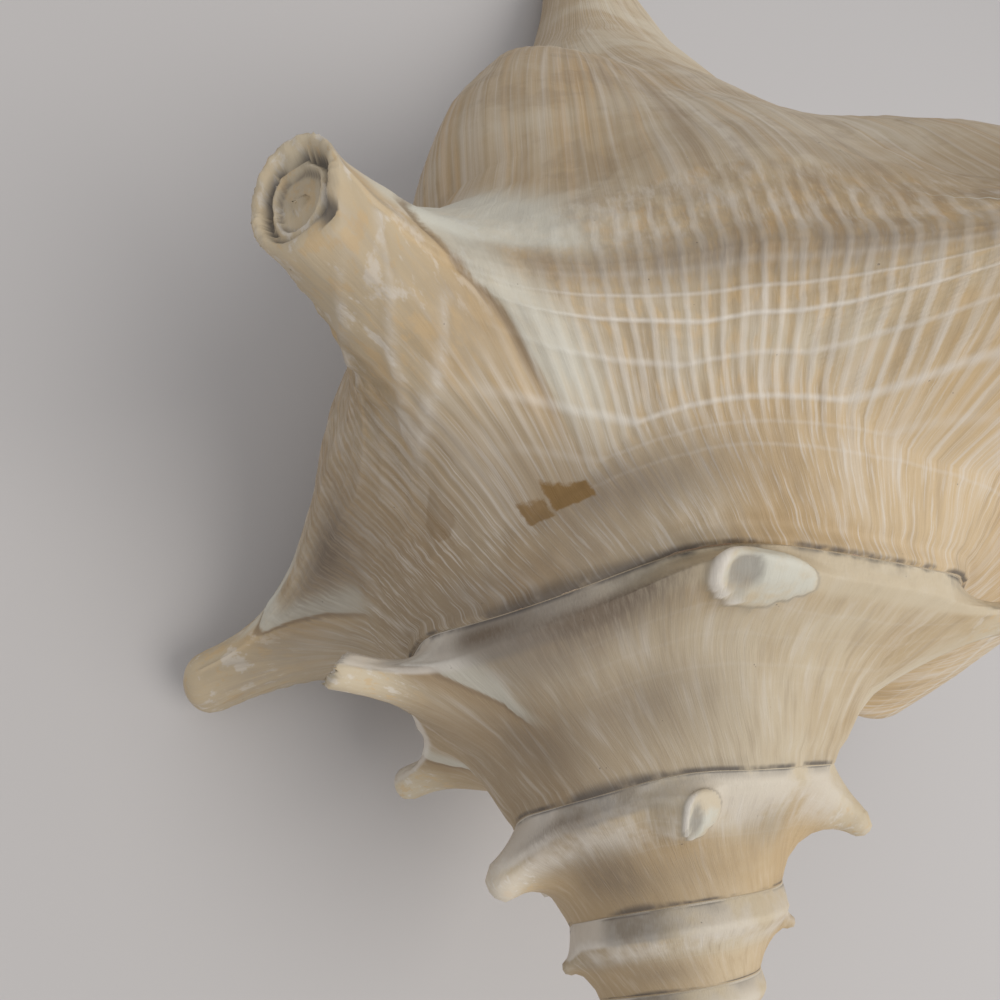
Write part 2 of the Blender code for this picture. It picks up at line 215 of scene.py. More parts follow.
SEAM_BROAD = ((0.45, 12.5), (0.6, 15.0), (0.75, 17.0), (0.95, 17.0), (1.15, 15.0), (1.4, 12.3), (2.0, 7.0))
SEAM_LOW = ((0.25, 26.0), (0.5, 21.5), (0.65, 22.5), (1.0, 21.0), (1.6, 17.5), (2.0, 10.0))
SEAM_OLD = ((0.2, 31.0), (0.45, 25.0), (0.6, 20.5), (0.85, 19.5), (1.1, 18.5), (1.4, 10.0))
FACE_FOLDS = (((-12.0, 0.53), (-1.0, 0.565), (3.0, 0.65), (5.0, 0.72), (12.0, 0.94)),
              ((-12.0, 0.50), (-1.0, 0.505), (3.5, 0.545), (8.5, 0.64), (14.0, 0.755)),
              ((-20.0, 0.80), (-8.0, 0.68), (-1.5, 0.67), (3.0, 0.80)))
SPINES = (
    Spine(-26, 0, 1.00, 0.545, 0.08, 28, 0.66, 0.128, sweep=-0.045, mouth=0.030, seam=SEAM_BROAD,
          form=TipForm.RINGED, tilt=0.45, folds=FACE_FOLDS, web=0.55),
    Spine(-98, 0, 0.98, 0.57, -0.19, 34, 0.62, 0.130, seam=SEAM_LOW),
    Spine(36, 0, 1.00, 0.55, 0.10, 28, 0.62, 0.130, seam=SEAM_BROAD),
    Spine(100, 0, 1.00, 0.16, 0.00, 22, 0.50, 0.110),
    Spine(-64, -1, 0.95, 0.30, 0.03, 24, 0.55, 0.065, mouth=0.12, seam=SEAM_OLD, form=TipForm.PIPE,
          tilt=-0.45),
    Spine(4, -1, 1.02, 0.10, -0.01, 20, 0.45, form=TipForm.WORN),
    Spine(-119, -1, 0.95, 0.32, -0.10, 28, 0.60, 0.070, seam=SEAM_OLD, taper=1.1),
    Spine(70, -1, 0.95, 0.26, 0.00, 22, 0.55, 0.055, seam=SEAM_OLD),
    Spine(-184, -1, 0.95, 0.28, 0.00, 22, 0.50, 0.050, seam=SEAM_OLD),
    Spine(-72, -2, 0.84, 0.110, -0.085, 30, 0.62, 0.062, taper=1.0),
    Spine(0, -2, 0.80, 0.050, -0.03, 15, 0.40, form=TipForm.WORN),
    Spine(78, -2, 0.86, 0.11, -0.12, 26, 0.66, 0.050, taper=0.95),
    Spine(-140, -2, 0.90, 0.14, -0.03, 20, 0.50, 0.030),
    Spine(-212, -2, 0.90, 0.15, 0.00, 20, 0.50, 0.030),
    Spine(-85, -3, 0.72, 0.045, -0.02, 24, 0.60, 0.022),
    Spine(88, -3, 0.72, 0.045, -0.02, 24, 0.60, 0.022),
    Spine(-24, 0, 2.24, 0.26, 0.05, 34, 1.05, form=TipForm.KNOB),
    Spine(-96, 0, 2.08, 0.12, 0.00, 26, 0.45, form=TipForm.KNOB),
    Spine(44, 0, 2.08, 0.24, 0.00, 24, 0.45, form=TipForm.KNOB),
)


@dataclass(frozen=True)
class EndFace:
    """The end face of a spine's tip. Places run from 0 at its rim to 1 in its middle."""

    rim: float = 0.15              # place and half width of the knobbly outer ring
    groove: float = 0.34
    groove_width: float = 0.045
    ring: float = 0.45             # place of the second ring
    line: float = 0.54             # place of the fine line inside it
    core: float = 0.50             # where the sunken core starts
    slit: float = -1.25            # where a slit cuts the outer ring, as an angle round the axis
    slit_width: float = 0.10
    hole: float = 0.22             # where a plain hole starts
    hole_slope: float = 0.30
    dome_height: float = 0.75      # of a round tip, in tip radii
    dome_sink: float = 0.35

    def ringed(self, inward: Array, angle: Array) -> tuple[Array, Array]:
        """Worn mouth with a knobbly rim, a groove, a second ring and a core.

        Args:
            inward: places on the face.
            angle: angles round the spine's axis.

        Returns:
            Height in mouth depths, and how dark the face is painted, as shade in its groove, slit and sunken
            core.
        """
        place = inward + 0.02 * np.sin(3 * angle + 1.0) + 0.01 * np.sin(7 * angle)
        knobbly = 1 + 0.35 * np.sin(11 * angle) * np.sin(5 * angle + 2)
        groove = bump_at(place, self.groove, self.groove_width)
        slit = bump_at(angle, self.slit, self.slit_width) * (1 - ease((place - 0.30) / 0.1))
        height = 0.40 * knobbly * bump_at(place, self.rim, self.rim)
        height -= 0.55 * groove + 0.30 * ease((place - 0.28) / 0.08) + 0.4 * slit
        height += 0.15 * bump_at(place, self.ring, 0.06) - 0.35 * ease((place - self.core) / 0.06)
        # painted shade in the groove, the slit and the sunken core, and a fine dark line
        dark = groove + slit + 0.5 * bump_at(place, self.line, 0.035) + 0.28 * ease((place - 0.52) / 0.05)
        return height, np.clip(dark, 0, 1)

    def of(self, spine: Spine, inward: Array, angle: Array) -> tuple[Array, Array]:
        """Height of a spine's end face above its rim.

        Args:
            spine: the spine.
            inward: places on the face.
            angle: angles round the spine's axis.

        Returns:
            How high the face stands, and how dark its hollow is painted, as shade with some grime.
        """
        if spine.form is TipForm.RINGED:
            height, dark = self.ringed(inward, angle)
            return spine.mouth * height, dark
        if spine.form is TipForm.PIPE:
            # the hole's wall sinks and is painted darker as shade the deeper it goes
            wall = ease((inward - self.hole) / self.hole_slope)
            return spine.mouth * (0.15 * bump_at(inward, 0.1, 0.1) - wall), wall
        dome = np.sqrt(1 - (1 - inward) ** 2)
        return spine.tip * (self.dome_height * dome - self.dome_sink), np.zeros(len(inward))


# ---------------------------------------------------------------- growth form

@dataclass(frozen=True)
class GrowthForm:
    """The growth laws that shape the shell."""

    radius_law: Triple = (0.0, 0.66, 0.067)      # logarithm of the suture's radius, by growth turn
    depth_law: Triple = (0.484, 0.333, 0.012)    # the same for its depth below the apex
    tip_turn: float = -3.0         # older whorls follow a plain cone from here
    tip_decay: float = 0.045
    first_turn: float = -6.3
    lip_turn: float = 0.36
    keel_radius: Curve = ((-0.68, 1.83), (-0.50, 1.50), (-0.28, 1.47), (-0.13, 1.45), (0.00, 1.53),
                          (0.15, 1.56), (0.36, 1.60))
    keel_depth: Curve = ((-0.68, 0.64), (-0.50, 0.52), (-0.28, 0.47), (-0.10, 0.50), (0.02, 0.48),
                         (0.15, 0.46), (0.36, 0.40))
    keel_start: float = -0.95      # growth turn where the free keel starts to leave the covered one
    keel_blend: float = 0.27
    covered_inset: float = 0.05    # a covered keel stands this far inside the next suture
    covered_raise: float = 0.13
    old_keel_turn: float = -1.95   # keels older than this stand clear of the suture that follows
    old_keel_blend: float = 0.4
    old_keel_bulge: float = 0.11
    old_keel_raise: float = 0.16
    wall_start: float = -0.66      # growth turn where the side starts to run on to the canal
    wall_blend: float = 0.20
    ramp_hollow: float = 0.10      # sag of the ramp below a straight line
    hollow_at_suture: float = 0.6  # share of that sag beside the suture
    canal_depth: float = 7.0
    canal_bend: float = 0.12       # sideways bend of the canal's end
    bend_start: float = 4.0
    side_shape: Curve = ((0.0, 1.0), (0.078, 0.968), (0.18, 0.868), (0.283, 0.735), (0.385, 0.61),
                         (0.488, 0.49), (0.59, 0.375), (0.693, 0.28), (0.795, 0.22), (0.898, 0.185),
                         (1.0, 0.15))
    flare_start: float = 0.10
    lip_profile: Table = ((0.0, 1.25, 1.80), (0.35, 1.75, 1.68), (0.7, 2.30, 1.78), (1.0, 2.62, 2.0),
                          (1.35, 2.80, 2.7), (1.7, 2.80, 3.5), (2.0, 2.66, 4.2), (2.3, 2.30, 4.95),
                          (2.55, 1.75, 5.5), (2.7, 1.30, 5.85), (2.85, 0.85, 6.5), (3.0, 0.42, 7.05))
    suture_lift: float = 0.06      # how far the suture climbs over a spine of the whorl before
    suture_lift_width: float = 0.05
    lift_growth: float = 0.5       # how much less it climbs one whorl earlier
    tip_start: float = 0.72        # share of a spine's foot from which its end face starts
    flank_power: float = 1.25
    wall_reach: float = 0.35       # height of the wall and of the side, in heights of the ramp
    side_reach: float = 4.0
    ledge_place: float = -58.0     # degrees of the smooth ledge above the second whorl's keel
    ledge_height: float = 0.045
    ledge_width: float = 0.06
    ledge_lift: float = 1.9
    keel_round: float = 0.34       # rows over which the body's keel is rounded
    old_round: float = 0.20
    round_start: float = 1.12      # turns before the lip where the wider rounding starts
    round_blend: float = 0.2
    round_width: float = 0.42
    spines: tuple[Spine, ...] = SPINES

    def suture(self, turn: Array) -> tuple[Array, Array]:
        """Radius and depth of the suture, which climbs over the spines of the whorl before.

        Args:
            turn: growth turns.

        Returns:
            Radii and depths.
        """
        poly = np.polynomial.polynomial.polyval
        radius = np.exp(poly(turn, self.radius_law))
        depth = np.exp(poly(turn, self.depth_law))
        tip_radius = math.exp(poly(self.tip_turn, self.radius_law))
        tip_depth = math.exp(poly(self.tip_turn, self.depth_law))
        growth = self.radius_law[1] + 2 * self.radius_law[2] * self.tip_turn
        deepening = self.depth_law[1] + 2 * self.depth_law[2] * self.tip_turn
        slope = deepening * tip_depth / (growth * tip_radius)
        back = turn - self.tip_turn
        old_radius = tip_radius * np.exp(growth * back - self.tip_decay * back * back)
        old_depth = tip_depth - (tip_radius - old_radius) * slope
        radius = np.where(turn < self.tip_turn, old_radius, radius)
        depth = np.where(turn < self.tip_turn, old_depth, depth)
        for spine in self.spines:
            if spine.whorl < 0:
                lift = self.suture_lift * self.lift_growth ** (-1 - spine.whorl)
                depth = depth + lift * radius * bump_at(turn - 1.0, spine.turn, self.suture_lift_width)
        return radius, depth + self.ledge(turn - 1.0) * radius

    def ledge(self, turn: Array) -> Array:
        """How much wider the smooth ledge above the keel gets, ahead of the open spine."""
        return self.ledge_height * bump_at(turn, self.ledge_place / 360.0 - 1.0, self.ledge_width)

    def keel(self, turn: Array) -> tuple[Array, Array]:
        """Radius and depth of the shoulder keel between spines.

        Args:
            turn: growth turns.

        Returns:
            Radii and depths.
        """
        radius, depth = self.suture(turn)
        next_radius, next_depth = self.suture(turn + 1.0)
        body = ease((turn - self.keel_start) / self.keel_blend)
        old = ease((self.old_keel_turn - turn) / self.old_keel_blend)
        covered_radius = next_radius + (self.old_keel_bulge * old - self.covered_inset) * radius
        raised = self.covered_raise + self.old_keel_raise * old + self.ledge_lift * self.ledge(turn)
        covered_depth = next_depth - raised * radius
        free_radius = curve_through(self.keel_radius, turn) * radius
        free_depth = depth + curve_through(self.keel_depth, turn) * radius
        return (covered_radius + (free_radius - covered_radius) * body,
                covered_depth + (free_depth - covered_depth) * body)

    def flare(self, turn: Array) -> Array:
        """How far the profile has opened into the lip, from 0 to 1."""
        return np.clip((turn - self.flare_start) / (self.lip_turn - self.flare_start), 0.0, 1.0) ** 2

    def profile(self, turn: Array, row: Array) -> tuple[Array, Array]:
        """Radius and depth of the outer surface.

        Args:
            turn: growth turns.
            row: rows.

        Returns:
            Radii and depths.
        """
        radius, depth = self.suture(turn)
        keel_radius, keel_depth = self.keel(turn)
        next_radius, next_depth = self.suture(turn + 1.0)
        side_start, side_share = self.side_shape[1]
        body = ease((turn - self.wall_start) / self.wall_blend)
        wall_radius = next_radius * (1 - body) + side_share * keel_radius * body
        free_depth = keel_depth + side_start * (self.canal_depth - keel_depth)
        wall_depth = next_depth * (1 - body) + free_depth * body
        ramp = np.clip(row, 0.0, 1.0)
        wall = np.clip(row - 1.0, 0.0, 1.0)
        side = np.clip(row - 2.0, 0.0, 1.0)
        share = self.hollow_at_suture + (1 - self.hollow_at_suture) * ramp
        sag = self.ramp_hollow * np.sin(math.pi * ramp) * share
        out = radius + (keel_radius - radius) * ramp - sag * (keel_depth - depth)
        down = depth + (keel_depth - depth) * ramp + sag * (keel_radius - radius)
        out = out + (wall_radius - keel_radius) * wall
        down = down + (wall_depth - keel_depth) * wall
        place = side_start + (1 - side_start) * side
        side_radius = wall_radius * curve_through(self.side_shape, place) / side_share
        side_depth = wall_depth + (self.canal_depth - wall_depth) * side
        out = np.where(row > 2.0, side_radius, out)
        down = np.where(row > 2.0, side_depth, down)
        flare = self.flare(turn)
        lip_radius = curve_through(tuple((height, wide) for height, wide, _ in self.lip_profile), row)
        lip_depth = curve_through(tuple((height, deep) for height, _, deep in self.lip_profile), row)
        return out + (lip_radius - out) * flare, down + (lip_depth - down) * flare

    def rounded_profile(self, turn: Array, row: Array) -> tuple[Array, Array]:
        """Outer surface with its keel rounded over, as on a real shell.

        Args:
            turn: growth turns.
            row: rows.

        Returns:
            Radii and depths.
        """
        body = ease((turn - self.lip_turn + self.round_start) / self.round_blend)
        reach = self.old_round + (self.keel_round - self.old_round) * body
        reach = reach * bump_at(row, 1.0, self.round_width)
        total = np.stack(self.profile(turn, row))
        whole = 1.0
        for share, weight in ((-1.0, 1.0), (-0.5, 2.0), (1.0, 1.0), (0.5, 2.0)):
            total += weight * np.stack(self.profile(turn, np.clip(row + share * reach, 0.0, 3.0)))
            whole += weight
        return tuple(total / whole)

    def to_space(self, turn: Array, radius: Array, depth: Array) -> Array:
        """Points in the shell's own frame.

        Args:
            turn: growth turns.
            radius: radii.
            depth: depths below the apex.

        Returns:
            The points, three numbers each.
        """
        angle = 2 * math.pi * turn
        bend = self.canal_bend * ease((depth - self.bend_start) / (self.canal_depth - self.bend_start))
        parts = np.broadcast_arrays(radius * np.sin(angle) + bend, depth, radius * np.cos(angle))
        return np.stack(parts, axis=-1)

    def reach_along(self, row: Array | float) -> Array:
        """Place down the profile, in heights of the ramp."""
        return (np.clip(row, 0, 1) + self.wall_reach * np.clip(row - 1, 0, 1)
                + self.side_reach * np.clip(row - 2, 0, 1))


@dataclass
class SurfacePlaces:
    """Points of the outer surface, with what the relief and the finish need to know of each."""

    turn: Array
    row: Array
    points: Array
    near: Array                    # closeness to the nearest spine, 0 at its foot and 1 at its tip
    ahead: Array                   # degrees ahead of the nearest spine's middle
    hollow: Array                  # 1 in the mouths of open spines, where it carries their painted shade and grime
    round_axis: Array              # angle round the nearest spine's axis, 0 ahead
    fold: Array                    # 1 on the crests of folds
    which: Array                   # number of the nearest spine, -1 away from them
    seam: Array                    # degrees ahead of the nearest seam

    @classmethod
    def plain(cls, turn: Array, row: Array, points: Array, no_seam: float) -> "SurfacePlaces":
        """The plain band, before any spine is raised.

        Args:
            turn: growth turns.
            row: rows.
            points: the band's points.
            no_seam: what seam holds away from any seam.

        Returns:
            The band's places.
        """
        count = len(turn)
        return cls(turn, row, points, *np.zeros((5, count)), np.full(count, -1), np.full(count, no_seam))


@dataclass
class SpineRaiser:
    """Pulls the plain band out into its spines."""

    form: GrowthForm
    face: EndFace = EndFace()
    no_seam: float = 60.0          # degrees
    seam_reach: float = 1.5        # half widths of a spine within which its seam counts
    fold_width: float = 0.014      # in rows
    fold_fade: float = 3.0         # in degrees
    knob_rise: float = 1.15
    web_angle: float = 0.2         # how far the web is turned round the spine's axis
    rim_power: float = 6.0         # how late the flank bends to meet the end face
    tilt_start: float = 0.55       # share of the flank from which the end face's slope counts

    def trace_seam(self, spine: Spine, places: SurfacePlaces) -> None:
        """Note how far ahead of a spine's seam the points lie, where it is the nearest.

        Args:
            spine: the spine.
            places: the surface's points, changed in place.
        """
        ahead = (places.turn - spine.turn) * 360.0
        distance = ahead - curve_through(spine.seam, places.row)
        counts = np.abs(ahead) < self.seam_reach * spine.half_width
        counts &= np.abs(distance) < np.abs(places.seam)
        places.seam[counts] = distance[counts]

    def trace_fold(self, spine: Spine, curve: Curve, places: SurfacePlaces) -> None:
        """Mark the crest of one fold, fading out at its ends.

        Args:
            spine: the spine.
            curve: the fold's rows, by degrees ahead of the spine.
            places: the surface's points, changed in place.
        """
        ahead = (places.turn - spine.turn) * 360.0
        ends = ease((ahead - curve[0][0]) / self.fold_fade) * ease((curve[-1][0] - ahead) / self.fold_fade)
        crest = bump_at(places.row - curve_through(curve, ahead), 0.0, self.fold_width) * ends
        places.fold = np.maximum(places.fold, crest)

    def footprint(self, spine: Spine, places: SurfacePlaces) -> tuple[Array, Array]:
        """Places across and along a spine's foot, which ends at 1.

        Args:
            spine: the spine.
            places: the surface's points.

        Returns:
            How far ahead of the spine and how far below it the points lie.
        """
        middle = self.form.reach_along(spine.row)
        offset = self.form.reach_along(places.row) - middle
        lower = spine.half_height if spine.whorl == 0 else 1.0 + self.form.wall_reach - middle
        across = (places.turn - spine.turn) / (spine.half_width / 360.0)
        return across, offset / np.where(offset < 0, spine.half_height, lower)

    def lift(self, number: int, spine: Spine, places: SurfacePlaces) -> None:
        """Pull the band out into one spine.

        Args:
            number: the spine's number.
            spine: the spine.
            places: the surface's points, changed in place.
        """
        form = self.form
        across, along = self.footprint(spine, places)
        reach = np.hypot(across, along)
        inside = np.flatnonzero(reach < 1.0)
        climb = 1.0 - reach[inside]
        axis, height = spine.axis()
        if not spine.has_tip:
            places.points[inside] += axis * (height * ease(climb * self.knob_rise))[:, None]
            return
        base = form.to_space(spine.turn, *form.profile(spine.turn, spine.row))
        flank = places.points[inside] - base
        along_axis = flank @ axis
        lateral = flank - along_axis[:, None] * axis
        spread = np.linalg.norm(lateral, axis=1) + SMALL
        around = np.arctan2(along[inside], across[inside])
        rise = np.clip(climb / form.tip_start, 0.0, 1.0)
        fuller = spine.web * np.clip(np.sin(around + self.web_angle), 0.0, 1.0)
        keep = (1.0 - rise) ** (spine.taper * (1.0 - fuller))
        rim = spine.tip * np.minimum(1.0, (1.0 - climb) / (1.0 - form.tip_start))
        width = rim * (1.0 - keep) + spread * keep
        lateral = lateral * (width / spread)[:, None]
        inward = (climb - form.tip_start) / (1.0 - form.tip_start)
        face, dark = self.face.of(spine, np.clip(inward, 0.0, 1.0), around)
        face_start = self.face.of(spine, np.zeros(1), np.zeros(1))[0][0]
        top = height * rise ** form.flank_power + along_axis * keep
        top += np.where(inward > 0, face, face_start * rise ** self.rim_power)
        top += spine.tilt * lateral[:, 1] * ease((rise - self.tilt_start) / (1.0 - self.tilt_start))
        places.points[inside] = base + lateral + axis * top[:, None]
        closer = climb > places.near[inside]
        chosen = inside[closer]
        places.near[chosen] = climb[closer]
        places.ahead[chosen] = (places.turn[chosen] - spine.turn) * 360.0
        # the mouth's painted shade and grime
        places.hollow[chosen] = (dark * (inward > 0))[closer]
        places.round_axis[chosen] = around[closer]
        places.which[chosen] = number

    def raise_all(self, turn: Array, row: Array) -> SurfacePlaces:
        """Place the outer surface's points, spines raised.

        Args:
            turn: growth turns.
            row: rows.

        Returns:
            The points and their spine data.
        """
        points = self.form.to_space(turn, *self.form.rounded_profile(turn, row))
        places = SurfacePlaces.plain(turn, row, points, self.no_seam)
        for number, spine in enumerate(self.form.spines):
            if spine.seam:
                self.trace_seam(spine, places)
            for curve in spine.folds:
                self.trace_fold(spine, curve, places)
            self.lift(number, spine, places)
        return places


# ---------------------------------------------------------------- mesh

class Zone(Enum):
    """Where a vertex lies."""

    OUTSIDE = 0
    HOLLOW = 1


@dataclass
class GridPlan:
    """Where the fine grid's columns and rows stand."""

    form: GrowthForm
    front: tuple[float, float] = (-124.0, 46.0)   # degrees of every whorl that get fine columns
    body_steps: tuple[float, float] = (0.43, 1.9)  # degrees between fine and coarse columns
    older_steps: Table = ((1, 0.75, 2.4), (2, 1.1, 3.0), (3, 1.7, 3.6), (4, 2.6, 4.5), (7, 4.0, 6.0))
    older_rows: Table = ((1, 40), (2, 26), (3, 18), (4, 12), (7, 8))
    old_crowding: float = 0.9      # power that spreads an older column's rows
    body_bands: Table = ((0.0, 0.10, 7), (0.10, 0.35, 12), (0.35, 0.72, 24), (0.72, 1.22, 36),
                         (1.22, 2.0, 16), (2.0, 2.35, 14), (2.35, 3.0, 15))

    def steps(self, whorls_back: int) -> tuple[float, float]:
        """Fine and coarse column steps for a whorl, counted back from the last."""
        if whorls_back == 0:
            return self.body_steps
        return next((fine, coarse) for limit, fine, coarse in self.older_steps if whorls_back <= limit)

    def turns(self) -> Array:
        """All columns' growth turns.

        Returns:
            The turns, from the apex to the lip.
        """
        form = self.form
        stops = {form.first_turn, form.first_turn + 1.0}
        for whorl in range(math.floor(form.first_turn) - 1, 2):
            for degrees in (*self.front, form.lip_turn * 360.0):
                stops.add(whorl + degrees / 360.0)
        ends = sorted(s for s in stops if form.first_turn <= s <= form.lip_turn + SMALL)
        turns = [np.array([ends[0]])]
        for low, high in zip(ends, ends[1:]):
            if high - low < SAME_TURN:
                continue
            middle = (low + high) / 2
            fine, coarse = self.steps(math.floor(form.lip_turn - middle))
            degrees = ((middle * 360.0 - self.front[0]) % 360.0) + self.front[0]
            step = fine if degrees < self.front[1] else coarse
            count = max(1, round((high - low) * 360.0 / step))
            turns.append(np.linspace(low, high, count + 1)[1:])
        return np.concatenate(turns)

    def body_rows(self) -> Array:
        """Rows of the body whorl, from the suture to the canal."""
        bands = [np.linspace(low, high, count + 1)[1:] for low, high, count in self.body_bands]
        return np.concatenate([np.zeros(1), *bands])

    def rows_at(self, turn: float) -> Array:
        """Rows of one column. Older columns stop short of the next suture.

        Args:
            turn: the column's growth turn.

        Returns:
            The rows.
        """
        back = self.form.lip_turn - turn
        if back <= 1.0 + SMALL:
            return self.body_rows()
        count = next(rows for limit, rows in self.older_rows if back <= limit + 1 + SMALL)
        return 2.0 * np.linspace(0.0, 1.0, count + 1)[:-1] ** self.old_crowding


class MeshDraft:
    """Vertices and faces while the shell's patches are joined."""

    def __init__(self) -> None:
        """Start empty."""
        self.points: list[Array] = []
        self.turns: list[Array] = []
        self.rows: list[Array] = []
        self.zones: list[Array] = []
        self.faces: list[tuple[int, ...]] = []
        self.count = 0

    def add(self, points: Array, turn: float, rows: Array, zone: Zone) -> list[int]:
        """Add a column of vertices.

        Args:
            points: their places.
            turn: their growth turn.
            rows: their rows.
            zone: where they lie.

        Returns:
            Their numbers.
        """
        first = self.count
        size = len(points)
        self.points.append(points)
        self.turns.append(np.full(size, turn))
        self.rows.append(np.asarray(rows, float))
        self.zones.append(np.full(size, zone.value))
        self.count += size
        return list(range(first, first + size))

    def face(self, corners: list[int]) -> None:
        """Add one face, without repeated corners."""
        corners = list(dict.fromkeys(corners))
        if len(corners) > 2:
            self.faces.append(tuple(corners))

    def fan(self, tip: int, ring: list[int]) -> None:
        """Close a ring by triangles to a tip."""
        for a, b in zip(ring, ring[1:] + ring[:1]):
            self.face([tip, a, b])

    def stitch(self, first: list[int], first_places: Array, second: list[int], second_places: Array) -> None:
        """Join two chains by quads where they match and by triangles elsewhere.

        Args:
            first: vertex numbers of one chain.
            first_places: increasing places of its vertices.
            second: vertex numbers of the other chain.
            second_places: their places.
        """
        if len(first) == len(second) and np.allclose(first_places, second_places, atol=1e-3):
            for a, b, c, d in zip(first, second, second[1:], first[1:]):
                self.face([a, b, c, d])
            return
        i = j = 0
        while i < len(first) - 1 or j < len(second) - 1:
            take_first = j == len(second) - 1 or (
                i < len(first) - 1 and first_places[i + 1] <= second_places[j + 1])
            if take_first:
                self.face([first[i], second[j], first[i + 1]])
                i += 1
            else:
                self.face([first[i], second[j], second[j + 1]])
                j += 1


@dataclass
class Mouth:
    """The lip's edge and the hollow behind it, in shell units, rows and growth turns."""

    lip_wall: float = 0.20         # thickness of the lip
    lip_swell: float = 0.45        # how far its edge swells forward, in thicknesses
    rim_rows: int = 4
    wall: float = 0.11             # thickness deeper in
    wall_thins_by: float = 0.35
    most_wall: float = 0.62        # most of the hollow's width that the wall takes
    run: float = 0.62              # how far back the hollow runs
    columns: int = 56
    row_count: int = 44
    top_row: float = 0.06
    low_row: float = 2.97
    rise: float = 0.42             # how far its lower end rises on the way in
    rises_by: float = 0.6
    facing_row: float = 2.02
    closing_start: float = 0.8     # share of the run from which it narrows to its end
    closing: float = 0.85

    @staticmethod
    def section(form: GrowthForm, turn: float, rows: Array) -> Array:
        """Radii and depths of the outer surface at rows of one growth turn."""
        return np.stack(form.profile(np.full(len(rows), turn), rows), axis=-1)

    def column(self, form: GrowthForm, turn: float) -> tuple[Array, Array, Array, Array]:
        """Outer and inner wall of the hollow at one growth turn.

        Args:
            form: the growth form.
            turn: the growth turn.

        Returns:
            The outer wall's points and rows, and the inner wall's.
        """
        rows = np.linspace(0.0, 3.0, self.row_count + 1)
        side = rows[rows >= 2.0 - SMALL]
        deep = (form.lip_turn - turn) / self.run
        wall = self.wall + (self.lip_wall - self.wall) * ease(1.0 - deep / self.wall_thins_by)
        low_end = self.low_row - self.rise * ease(deep / self.rises_by)
        inner_rows = 2.0 + (side - side[0]) / (3.0 - side[0]) * (low_end - 2.0)
        outer_rows = self.top_row + rows / 3.0 * (low_end - self.top_row)
        facing_row = self.facing_row + (low_end - self.facing_row) * ease(outer_rows / low_end)
        outer = self.section(form, turn, outer_rows)
        inner = self.section(form, turn - 1.0, inner_rows)
        facing = self.section(form, turn - 1.0, facing_row)
        gap = facing - outer
        distance = np.linalg.norm(gap, axis=1, keepdims=True)
        outer = outer + gap * np.minimum(wall / distance, self.most_wall)
        closing = ease((deep - self.closing_start) / (1.0 - self.closing_start)) * self.closing
        middle = (outer + facing) / 2
        outer = outer + (middle - outer) * closing
        target = np.stack([np.interp(inner_rows, facing_row, middle[:, k]) for k in (0, 1)], axis=-1)
        inner = inner + (target - inner) * closing
        return form.to_space(turn, *outer.T), rows, form.to_space(turn, *inner.T), inner_rows

    def round_lip(self, form: GrowthForm, draft: MeshDraft, lip: list[int], rows: Array,
                  hollow: list[int], hollow_rows: Array) -> list[list[int]]:
        """Round the lip's edge over to the hollow's first column.

        Args:
            form: the growth form.
            draft: the mesh so far.
            lip: the last column's vertices.
            rows: their rows.
            hollow: the hollow's first column.
            hollow_rows: its rows.

        Returns:
            The chains of the lip's rim, the outermost first.
        """
        points = np.concatenate(draft.points)
        edge = points[lip]
        matched = np.stack([np.interp(rows, hollow_rows, points[hollow][:, k]) for k in range(3)], axis=-1)
        size = np.linalg.norm(matched - edge, axis=1, keepdims=True) / self.lip_wall
        angle = 2 * math.pi * form.lip_turn
        forward = np.array((math.cos(angle), 0.0, -math.sin(angle)))
        rim = [lip]
        for step in range(1, self.rim_rows + 1):
            share = step / (self.rim_rows + 1)
            swell = self.lip_swell * self.lip_wall * math.sin(math.pi * share)
            ring = edge + (matched - edge) * share + forward * swell * np.minimum(size, 1.0)
            rim.append(draft.add(ring, form.lip_turn, rows, Zone.HOLLOW))
        for first, second in zip(rim, rim[1:]):
            draft.stitch(first, rows, second, rows)
        draft.stitch(rim[-1], rows, hollow, hollow_rows)
        rim.append(hollow)
        draft.face([chain[0] for chain in rim])
        return rim

    def build(self, form: GrowthForm, draft: MeshDraft, lip: list[int], parietal: list[int],
              rows: Array, join: int) -> list[list[int]]:
        """Round the lip's edge and sink the hollow.

        Args:
            form: the growth form.
            draft: the mesh so far.
            lip: the last column's vertices.
            parietal: vertices of the first body column from the covered suture down.
            rows: the body's rows.
            join: number of the row on the covered suture.

        Returns:
            The chains of the lip's rim, the outermost first.
        """
        outer_chains, inner_chains, places = [], [], []
        for step in range(self.columns + 1):
            turn = form.lip_turn - self.run * step / self.columns
            outer, outer_rows, inner, inner_rows = self.column(form, turn)
            outer_chains.append(draft.add(outer, turn, outer_rows, Zone.HOLLOW))
            if step == 0:
                inner_chains.append(parietal)
                places.append(rows[join:])
            else:
                inner_chains.append(draft.add(inner, turn, inner_rows, Zone.HOLLOW))
                places.append(np.linspace(2.0, 3.0, len(inner_rows)))
        hollow_rows = np.linspace(0.0, 3.0, self.row_count + 1)
        rim = self.round_lip(form, draft, lip, rows, outer_chains[0], hollow_rows)
        for first, second in zip(outer_chains, outer_chains[1:]):
            draft.stitch(first, hollow_rows, second, hollow_rows)
        for step in range(self.columns):
            outer, outer_next = outer_chains[step:step + 2]
            inner, inner_next = inner_chains[step:step + 2]
            draft.stitch(inner_next, places[step + 1], inner, places[step])
            draft.face([outer[0], inner[0], inner_next[0], outer_next[0]])
            draft.face([outer[-1], outer_next[-1], inner_next[-1], inner[-1]])
        draft.stitch(inner_chains[-1], places[-1] * 3.0 - 6.0, outer_chains[-1], hollow_rows)
        return rim


